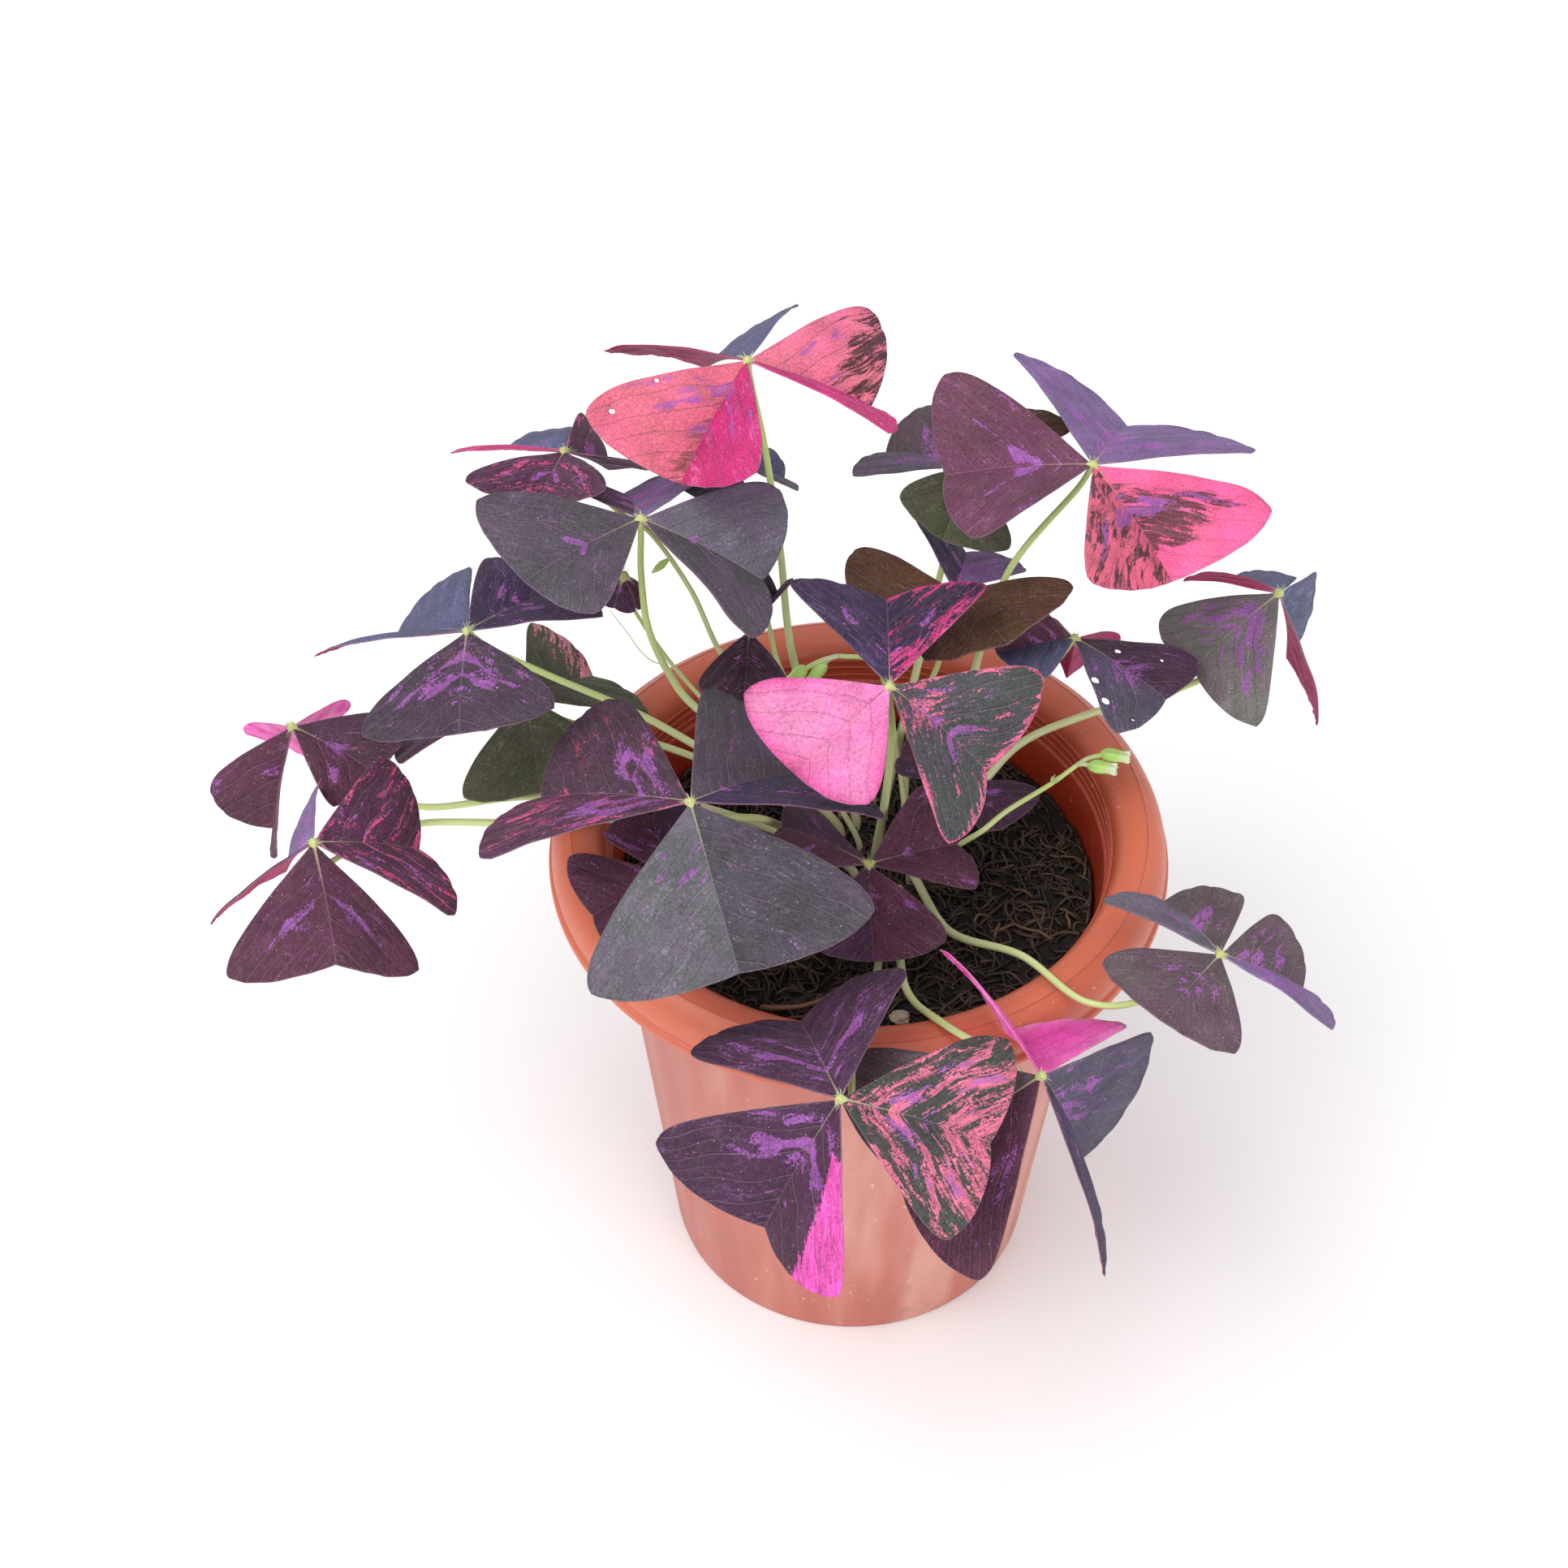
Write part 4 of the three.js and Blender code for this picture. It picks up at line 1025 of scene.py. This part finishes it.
def joint_material(settings):
    """Fleshy leaf joint: pale, moist and slightly glossy green tissue, mottled at some 1 mm."""
    material, node = new_material("leaf_joint_fleshy")
    spots = node("TexNoise", node("TexCoord", out="Object"), 900, 2)
    colour = node("Mix RGBA", spots, settings.joint, "#a2a862")
    return covered(
        material, Base_Color=colour, Roughness=0.42, IOR=1.4, Subsurface_Weight=0.15, Subsurface_Scale=0.001
    )


def stalk_material(settings):
    """Living stalk: translucent pale green flesh that blanches towards the soil, unevenly over some
    11 mm, with a faint grain of 0.7 mm."""
    material, node = new_material("oxalis_stalk_fleshy")
    place = node("TexCoord", out="Object")
    height = node("Attribute", attribute_name="height", out="Fac")
    share = node("Math MULTIPLY_ADD", node("TexNoise", place, 90, 3), 0.5, height)
    colour = node("Mix RGBA", node("MapRange", share, 0.3, 1.1), settings.blanched, settings.fresh)
    bump = node("Bump", 0.2, 0.0001, Height=node("TexNoise", place, 1400, 2))
    return covered(
        material, Base_Color=colour, Roughness=0.4, IOR=1.4, Normal=bump,
        Subsurface_Weight=0.2, Subsurface_Scale=0.0012,
    )


def pot_material(settings):
    """Injection-moulded polypropylene: satin, slightly waxy, deep orange on the collar, with painted shade
    in deep red inside and bleached to a dusty pink on the wall, with painted highlights of its flutes,
    scuffs, lime specks and splashes of dried mud."""
    material, node = new_material("pot_polypropylene_moulded")
    place = node("TexCoord", out="Object")
    z = node("SeparateXYZ", place, out="Z")
    radius = node("VectorMath LENGTH", node("VectorMath MULTIPLY", place, (1, 1, 0)))
    # Only the outside of the wall is bleached: it lies beyond a cone 1 mm inside it.
    low = node("MapRange", z, 0.124, 0.13, 1, 0)
    outside = node("Math GREATER_THAN", radius, node("Math MULTIPLY_ADD", z, 0.1165, 0.0447))
    # Upright streaks some 5 mm wide, left by water.
    upright = node("VectorMath MULTIPLY", place, (1, 1, 0.12))
    runs = node("MapRange", node("TexNoise", upright, 140, 3), 0.3, 0.7, 0.55, 1)
    bleach = node("Math MULTIPLY", node("Math MULTIPLY", low, outside), runs)
    # Painted shade: the unbleached inside deepens to red from the collar down, over some 8 mm.
    inside = node("MapRange", radius, 0.0585, 0.064, 1, 0)
    # Painted highlights of the shallow flutes: pale upright bands some 10 mm wide on the bleached wall.
    flute_highlights = node("MapRange", node("TexNoise", upright, 62, 2), 0.48, 0.66, 0, 0.6)
    # Scuffs some 5 mm across and the parting line on the crest, both thin and broken.
    scuffed = node("TexNoise", place, 210, 5, 0.75)
    seam = node("Math ABSOLUTE", node("Math SUBTRACT", radius, 0.0694))
    seam = node("MapRange", seam, 0.00008, 0.0003, 0.6, 0)
    # Ragged splashes of mud of up to 18 mm, more of them near the foot, and lime specks within 1.6 mm.
    foot = node("MapRange", z, 0, 0.05, 0.1, 0)
    mud = node("Math ADD", node("TexNoise", place, 55, 6, 0.65), foot)
    colour = laid_over(
        node, settings.plastic,
        (inside, settings.inside_shade),
        (bleach, settings.faded),
        (node("Math MULTIPLY", flute_highlights, bleach), "#d8a598"),
        (node("Math MULTIPLY", seam, scuffed), "#6e2f20"),
        (node("MapRange", scuffed, 0.6, 0.78, 0, 0.35), "#e3a58e"),
        (node("MapRange", node("TexNoise", place, 620, 2), 0.72, 0.76, 0, 0.55), "#e6cfc4"),
        (node("MapRange", mud, 0.64, 0.74, 0, 0.45), "#8a6a54"),
    )
    # The bleached runs are duller, and the mould left a faint grain of 1.1 mm.
    rough = node("MapRange", runs, 0.5, 1, 0.36, 0.5)
    bump = node("Bump", 0.12, 0.0002, Height=node("TexNoise", place, 900, 3))
    return covered(
        material, Base_Color=colour, Roughness=rough, IOR=1.49, Normal=bump,
        Subsurface_Weight=0.08, Subsurface_Scale=0.002,
    )


def soil_material(settings):
    """Damp potting mix: near-black, matt crumbs of peat of 2.4 mm and finer."""
    material, node = new_material("potting_mix_damp")
    crumbs = node("TexNoise", node("TexCoord", out="Object"), 420, 6, 0.7)
    colour = node("Mix RGBA", node("MapRange", crumbs, 0.52, 0.75, 0, 0.6), settings.damp, "#3d2d22")
    bump = node("Bump", 0.9, 0.0012, Height=crumbs)
    return covered(material, Base_Color=colour, Roughness=0.85, Normal=bump)


def fibre_material(settings):
    """Coir fibre and bark shreds: fibrous, with a grain of 0.4 mm, tan when dry and darker where damp."""
    material, node = new_material("coir_fibre_shredded")
    tone = node("Attribute", attribute_name="height", out="Fac")
    colour = node("Mix RGBA", tone, settings.damp, settings.dry)
    bump = node("Bump", 0.5, 0.0002, Height=node("TexNoise", node("TexCoord", out="Object"), 2500, 2))
    return covered(material, Base_Color=colour, Roughness=0.55, Normal=bump)


def stone_material():
    """Weathered limestone chip: matt and pale, with pits of 0.9 mm."""
    material, node = new_material("stone_limestone_weathered")
    pits = node("TexNoise", node("TexCoord", out="Object"), 1100, 4, 0.7)
    colour = node("Mix RGBA", pits, "#7d6f5c", "#d5c9b2")
    bump = node("Bump", 0.6, 0.0004, Height=pits)
    return covered(material, Base_Color=colour, Roughness=0.8, Normal=bump)


def cup_material():
    """Flower cup: fresh yellow-green sepals, mottled at 1.4 mm, that fade to papery, whitish tips."""
    material, node = new_material("flower_cup_sepals_fresh")
    height = node("Attribute", attribute_name="height", out="Fac")
    mottle = node("TexNoise", node("TexCoord", out="Object"), 700, 3)
    fresh = node("Mix RGBA", mottle, "#a9d867", "#c6e68c")
    colour = node("Mix RGBA", node("MapRange", height, 0.68, 1, 0, 0.8), fresh, "#eef2d2")
    bump = node("Bump", 0.25, 0.0002, Height=mottle)
    return covered(
        material, Base_Color=colour, Roughness=0.45, IOR=1.4, Normal=bump,
        Subsurface_Weight=0.2, Subsurface_Scale=0.001,
    )


def hair_material():
    """Short plant hairs: fine, whitish and translucent, with a tone that drifts over some 4 mm."""
    material, node = new_material("plant_hair_white")
    colour = node("Mix RGBA", node("TexNoise", node("TexCoord", out="Object"), 250), "#e9ecd8", "#cfd3b4")
    return covered(material, Base_Color=colour, Roughness=0.5, Alpha=0.85)


def floor_material(settings):
    """Matt painted board: an even, pale, light-scattering floor with a grain of 3.3 mm."""
    material, node = new_material("floor_painted_board")
    bump = node("Bump", 0.03, 0.0002, Height=node("TexNoise", node("TexCoord", out="Object"), 300))
    return covered(material, Base_Color=settings.floor, Roughness=0.8, Normal=bump)


# ------------------------------------------------------------------ pot and soil shapes


def pot_profile(base, neck):
    """Outside of the wall, collar with its bead lip, rounded crest and stepped inside, in mm."""

    def outer(z):
        return mixed(base, neck, z / WALL_TOP)

    floor_edge = outer(FLOOR) - WALL
    return [
        (0, 0), (base - 1, 0), (base - 0.3, 0.25), (base, 1.2),
        *[(outer(z), z) for z in (4, 8, 14, 24, 40, 60, 80, 100, 118, 124, WALL_TOP)],
        (neck + 0.5, 131),
        *[(neck + out, POT_TOP - down) for out, down in COLLAR],
        *[(RIM_RADIUS - inward, POT_TOP - down) for inward, down in CREST],
        *[(neck + out, POT_TOP - down) for out, down in STEPS],
        *[(outer(z) - WALL, z) for z in (WALL_TOP, 118, 100, 70, 40, 12)],
        (floor_edge - 0.3, FLOOR + 1), (floor_edge - 0.9, FLOOR), (0, FLOOR),
    ]


def pot_shape(settings, segments=240):
    """The turned pot with shallow flutes on the outside of its wall."""
    profile = pot_profile(settings.base_radius / MM, settings.neck_radius / MM)
    wall_end = next(i for i, (_, z) in enumerate(profile) if z >= 124)
    points = []
    for i, (radius, z) in enumerate(profile):
        fade = min(1, z / 8) * min(1, (WALL_TOP - z) / 6) if 3 <= i <= wall_end else 0
        for angle in angles(segments):
            flute = settings.flute_depth / MM * fade * (0.5 - 0.5 * math.cos(angle * settings.flutes))
            points.append((math.cos(angle) * (radius - flute), math.sin(angle) * (radius - flute), z))
    return Shape(points, ring_faces(len(profile), segments))


def drill_drains(piece):
    """Cuts the ring of round drain holes through the pot's floor."""
    drills = bmesh.new()
    for angle in angles(DRAIN_HOLES):
        centre = Vector((math.cos(angle) * DRAIN_CIRCLE, math.sin(angle) * DRAIN_CIRCLE, 1)) * MM
        bmesh.ops.create_cone(
            drills, cap_ends=True, segments=40, radius1=DRAIN_RADIUS * MM, radius2=DRAIN_RADIUS * MM,
            depth=8 * MM, matrix=Matrix.Translation(centre),
        )
    mesh = bpy.data.meshes.new("drain_drills")
    drills.to_mesh(mesh)
    drills.free()
    cutter = bpy.data.objects.new("drain_drills", mesh)
    bpy.context.scene.collection.objects.link(cutter)
    cut = piece.modifiers.new("drains", "BOOLEAN")
    cut.operation, cut.solver, cut.object = "DIFFERENCE", "EXACT", cutter
    finished = piece.evaluated_get(bpy.context.evaluated_depsgraph_get())
    piece.data = bpy.data.meshes.new_from_object(finished)
    piece.modifiers.clear()
    bpy.data.objects.remove(cutter)
    bpy.data.meshes.remove(mesh)


def soil_height(x, y):
    """Height of the loose, fibrous soil at a point, in mm."""
    broad = math.sin(x * 0.13 + 1.1) * math.cos(y * 0.11 - 0.4)
    fine = math.sin(x * 0.47 + y * 0.21) * math.sin(y * 0.53 - x * 0.17 + 2)
    return SOIL_HEIGHT + SOIL_RELIEF * (0.7 * broad + 0.6 * fine)


def soil_shape(radius, rings=96, segments=200):
    """The plug of mix with its crumbs, on a flat base inside the pot."""
    fan = [(0, 1 + k, 1 + (k + 1) % segments) for k in range(segments)]
    soil = Shape([(0, 0, soil_height(0, 0))], fan)
    for i in range(1, rings + 1):
        for angle in angles(segments):
            x = radius * i / rings * math.cos(angle)
            y = radius * i / rings * math.sin(angle)
            clod = noise.fractal(Vector((x, y, 0)) * 0.35, 0.9, 2.1, 5)
            soil.points.append((x, y, soil_height(x, y) - 1 + SOIL_RELIEF * clod))
    foot, low = SOIL_FOOT
    soil.points += [(foot * math.cos(angle), foot * math.sin(angle), low) for angle in angles(segments)]
    soil.faces += [(a, d, c, b) for a, b, c, d in ring_faces(rings + 1, segments, 1)]
    soil.faces.append(tuple(reversed(range(len(soil.points) - segments, len(soil.points)))))
    return soil


def fibre_line(pick, radius):
    """One loose fibre that wanders over the mix, with its thickness."""
    reach = radius * math.sqrt(pick.random()) * 0.985
    heading = pick.uniform(0, 2 * math.pi)
    x, y = reach * math.cos(heading), reach * math.sin(heading)
    heading = pick.uniform(0, 2 * math.pi)
    length = pick.uniform(*(SHORT_FIBRE if pick.random() < SHORT_SHARE else LONG_FIBRE))
    curl = pick.gauss(0, 0.2)
    rise = pick.uniform(*FIBRE_RISE)
    thickness = pick.uniform(*FIBRE_THICKNESS)
    line = []
    for step in range(FIBRE_STEPS + 1):
        within = min(1, (radius - FIBRE_SINK) / max(1e-6, math.hypot(x, y)))
        x, y = x * within, y * within
        arch = math.sin(math.pi * step / FIBRE_STEPS)
        line.append(Vector((x, y, soil_height(x, y) - FIBRE_SINK + rise * arch)))
        heading += curl + pick.gauss(0, 0.26)
        x += math.cos(heading) * length / FIBRE_STEPS
        y += math.sin(heading) * length / FIBRE_STEPS
    return line, thickness


# ------------------------------------------------------------------ operators


class SHAMROCK_OT_pot(bpy.types.Operator):
    """Make the moulded plastic pot"""

    bl_idname = "shamrock.pot"
    bl_label = "Pot"

    def execute(self, context):
        settings = context.scene.shamrock_pot
        piece = new_piece("pot_moulded", pot_shape(settings), [pot_material(settings)])
        body = bmesh.new()
        body.from_mesh(piece.data)
        bmesh.ops.remove_doubles(body, verts=body.verts, dist=1e-6)
        bmesh.ops.recalc_face_normals(body, faces=body.faces)
        body.to_mesh(piece.data)
        body.free()
        drill_drains(piece)
        piece.data.set_sharp_from_angle(angle=SHARP_ANGLE)
        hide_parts("pot")
        return {"FINISHED"}


class SHAMROCK_OT_soil(bpy.types.Operator):
    """Make the potting mix with its loose fibres"""

    bl_idname = "shamrock.soil"
    bl_label = "Soil"

    def execute(self, context):
        settings = context.scene.shamrock_soil
        radius = settings.radius / MM
        piece = new_piece("soil_mix", soil_shape(radius), [soil_material(settings)])
        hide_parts("soil")

        pick = random.Random(SEED)
        shreds = Shape()
        for _ in range(settings.fibres):
            line, thickness = fibre_line(pick, radius)
            if min((b - a).length for a, b in zip(line, line[1:])) < 0.2:
                continue
            tone = 0.02 + 0.34 * pick.random() ** 2 + (0.45 if pick.random() < 0.05 else 0)
            shreds.add_tube(line, thickness, thickness * 0.6, 6, tone)
        shreds.add_tube(curve_through(RED_ROOT, 6), *ROOT_RADII, 8, 1.0)
        fibres = new_piece("soil_fibres", shreds, [fibre_material(settings)])

        chip = icosphere(1)
        for index, point in enumerate(chip.points):
            chipped = point * (1 + 0.35 * noise.noise(point * 1.6))
            chip.points[index] = Vector(CHIP_PLACE) + chipped * Vector(CHIP_SIZE)
        stone = new_piece("soil_stone_chip", chip, [stone_material()], smooth=False)
        return {"FINISHED"}


class SHAMROCK_OT_leaves(bpy.types.Operator):
    """Make every leaf of three leaflets"""

    bl_idname = "shamrock.leaves"
    bl_label = "Leaves"

    def execute(self, context):
        settings = context.scene.shamrock_leaf
        radius = settings.hub_radius / MM
        materials = [leaf_upper_material(settings), leaf_under_material(), joint_material(settings)]
        pick = random.Random(SEED + 1)
        down = Shape()
        for number, (name, leaf) in enumerate(LEAVES.items(), 1):
            blade = Blade(leaf)
            for place, leaflet in enumerate(leaf.leaflets):
                holes = HOLES.get((name, place), ())
                seed = LEAF_SEED * number + LEAFLET_SEED * place
                blade.add_leaflet(leaflet, holes, settings.thickness / MM / 2, seed)
            blade.add_joint(radius)
            piece = blade.make_piece(f"blade_{name}", materials)
            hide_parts(f"leaf_{name}_blade")
            for _ in range(settings.joint_hairs):
                outward = Vector([pick.gauss(0, 1) for _ in range(3)]).normalized()
                droop = Vector((pick.gauss(0, 0.3), pick.gauss(0, 0.3), -0.2))
                root = leaf.hub + outward * radius * 0.7
                reach = pick.uniform(*HAIR_REACH)
                line = [root, root + outward * reach * 0.6, root + (outward + droop * 0.5) * reach]
                down.add_tube(line, *HAIR_RADII, 4)
        hairs = new_piece("joint_hairs", down, [hair_material()])
        return {"FINISHED"}


class SHAMROCK_OT_stalks(bpy.types.Operator):
    """Make the stalk of every leaf"""

    bl_idname = "shamrock.stalks"
    bl_label = "Stalks"

    def execute(self, context):
        settings = context.scene.shamrock_stalk
        hub_radius = context.scene.shamrock_leaf.hub_radius / MM
        material = stalk_material(settings)
        for name, leaf in LEAVES.items():
            direction = clear_direction(name, leaf)
            bend = leaf.hub + direction * (hub_radius + STALK_BEND)
            line = stalk_line(leaf.foot, (*leaf.via, bend), leaf.hub + direction * STALK_TIP)
            share = SLENDER.get(name, 1) / MM
            stalk = Shape()
            stalk.add_tube(line, settings.foot_radius * share, settings.tip_radius * share, STALK_SIDES)
            if name == THREAD_LEAF:
                stalk.add_tube(curve_through(THREAD, 8), *THREAD_RADII, 6)
            piece = new_piece(f"stalk_{name}", stalk, [material])
            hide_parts(f"leaf_{name}_stalk")
        return {"FINISHED"}


class SHAMROCK_OT_flower_stalks(bpy.types.Operator):
    """Make the flower stalks with their spent cups, and one bud"""

    bl_idname = "shamrock.flower_stalks"
    bl_label = "Flower stalks"

    def execute(self, context):
        settings = context.scene.shamrock_stalk
        radius = settings.tip_radius / MM
        materials = [stalk_material(settings), cup_material()]
        for name, (foot, via, tip, cups) in FLOWER_STALKS.items():
            stalk = Shape()
            tip, knot = Vector(tip), Vector(via[-1])
            stalk.add_tube(stalk_line(foot, via, tip), radius * 1.1, radius * 0.8, STALK_SIDES)
            for number in range(SCALES):
                outward = leaflet_frame(360 * number / SCALES, 35)[0]
                scale = [knot, knot + outward * 0.9, knot + outward * 1.3 + Vector((0.5, 0.3, 0.5))]
                stalk.add_tube(scale, *SCALE_RADII, 6)
            for base, heading, pitch in cups:
                base = Vector(base)
                axis = leaflet_frame(heading, pitch)[0]
                neck = [tip, (tip + base) / 2 + Vector((0, 0, 0.4)), base + axis * 1.2]
                stalk.add_tube(curve_through(neck, 6), 0.6, 0.6, 10)
                stalk.add_turned(base, axis, CUP_LENGTH, CUP_PROFILE, CUP_SIDES, CUP_TEETH, material=1)
            piece = new_piece(f"{name}_fine", stalk, materials)
            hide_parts(name)

        closed = Shape()
        closed.add_turned(Vector(BUD_PLACE), leaflet_frame(*BUD_LEAN)[0], BUD_LENGTH, BUD_PROFILE, 20)
        bud = new_piece("flower_bud", closed, materials[1:])
        return {"FINISHED"}


class SHAMROCK_OT_studio(bpy.types.Operator):
    """Make the floor, the soft lights and the camera"""

    bl_idname = "shamrock.studio"
    bl_label = "Studio"

    def execute(self, context):
        settings = context.scene.shamrock_studio
        scene = context.scene
        mesh = bpy.data.meshes.new("studio_floor")
        corners = [(x * FLOOR_REACH, y * FLOOR_REACH, 0) for x, y in ((-1, -1), (1, -1), (1, 1), (-1, 1))]
        mesh.from_pydata(corners, [], [(0, 1, 2, 3)])
        mesh.materials.append(floor_material(settings))
        floor = bpy.data.objects.new("studio_floor", mesh)
        scene.collection.objects.link(floor)

        world = bpy.data.worlds.new("studio_air")
        world.use_nodes = True
        air = world.node_tree.nodes["Background"].inputs
        air["Color"].default_value = linear("#f6f8fc")
        air["Strength"].default_value = AIR_STRENGTH
        scene.world = world
        # Colours are given as they look in plain daylight, so no film curve is laid over them.
        scene.view_settings.view_transform = "Standard"

        for name, place, size, power in (
            ("key", (-0.5, -0.45, 1.35), 1.1, settings.key_power),
            ("fill", (0.7, -1.0, 0.6), 0.9, settings.fill_power),
        ):
            light = bpy.data.lights.new(f"light_{name}", "AREA")
            light.size, light.energy = size, power
            lamp = bpy.data.objects.new(f"light_{name}", light)
            lamp.location = place
            lamp.rotation_euler = (Vector(LIT_POINT) - Vector(place)).to_track_quat("-Z", "Y").to_euler()
            scene.collection.objects.link(lamp)

        camera = bpy.data.cameras.new("camera")
        camera.lens, camera.sensor_width, camera.clip_start = settings.lens, 36, 0.05
        shooter = bpy.data.objects.new("camera", camera)
        yaw, pitch, roll = (Matrix.Rotation(angle, 4, axis) for angle, axis in zip(CAMERA_TURN, "ZXZ"))
        shooter.matrix_world = Matrix.Translation(CAMERA_PLACE) @ yaw @ pitch @ roll
        scene.collection.objects.link(shooter)
        scene.camera = shooter
        return {"FINISHED"}


class SHAMROCK_PT_panel(bpy.types.Panel):
    """Sidebar panel that lists the pieces"""

    bl_idname = "SHAMROCK_PT_panel"
    bl_label = "Potted shamrock"
    bl_space_type = "VIEW_3D"
    bl_region_type = "UI"
    bl_category = "Shamrock"

    def draw(self, context):
        for name, (_, *operators) in GROUPS.items():
            box = self.layout.box()
            settings = getattr(context.scene, name)
            for key in settings.bl_rna.properties.keys():
                if key not in ("rna_type", "name"):
                    box.prop(settings, key)
            for operator in operators:
                box.operator(operator.bl_idname)


# Settings and then the operators that use them, by the name that the settings have on the scene.
GROUPS = {
    "shamrock_pot": (PotSettings, SHAMROCK_OT_pot),
    "shamrock_soil": (SoilSettings, SHAMROCK_OT_soil),
    "shamrock_leaf": (LeafSettings, SHAMROCK_OT_leaves),
    "shamrock_stalk": (StalkSettings, SHAMROCK_OT_stalks, SHAMROCK_OT_flower_stalks),
    "shamrock_studio": (StudioSettings, SHAMROCK_OT_studio),
}
CLASSES = [*[cls for group in GROUPS.values() for cls in group], SHAMROCK_PT_panel]


def register():
    for cls in CLASSES:
        bpy.utils.register_class(cls)
    for name, (settings, *_) in GROUPS.items():
        setattr(bpy.types.Scene, name, bpy.props.PointerProperty(type=settings))


def unregister():
    for name in GROUPS:
        delattr(bpy.types.Scene, name)
    for cls in reversed(CLASSES):
        bpy.utils.unregister_class(cls)


def main():
    """Build the whole scene."""
    register()
    bpy.ops.shamrock.studio()
    bpy.ops.shamrock.pot()
    bpy.ops.shamrock.soil()
    bpy.ops.shamrock.leaves()
    bpy.ops.shamrock.stalks()
    bpy.ops.shamrock.flower_stalks()
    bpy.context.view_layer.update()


if __name__ == "__main__":
    main()
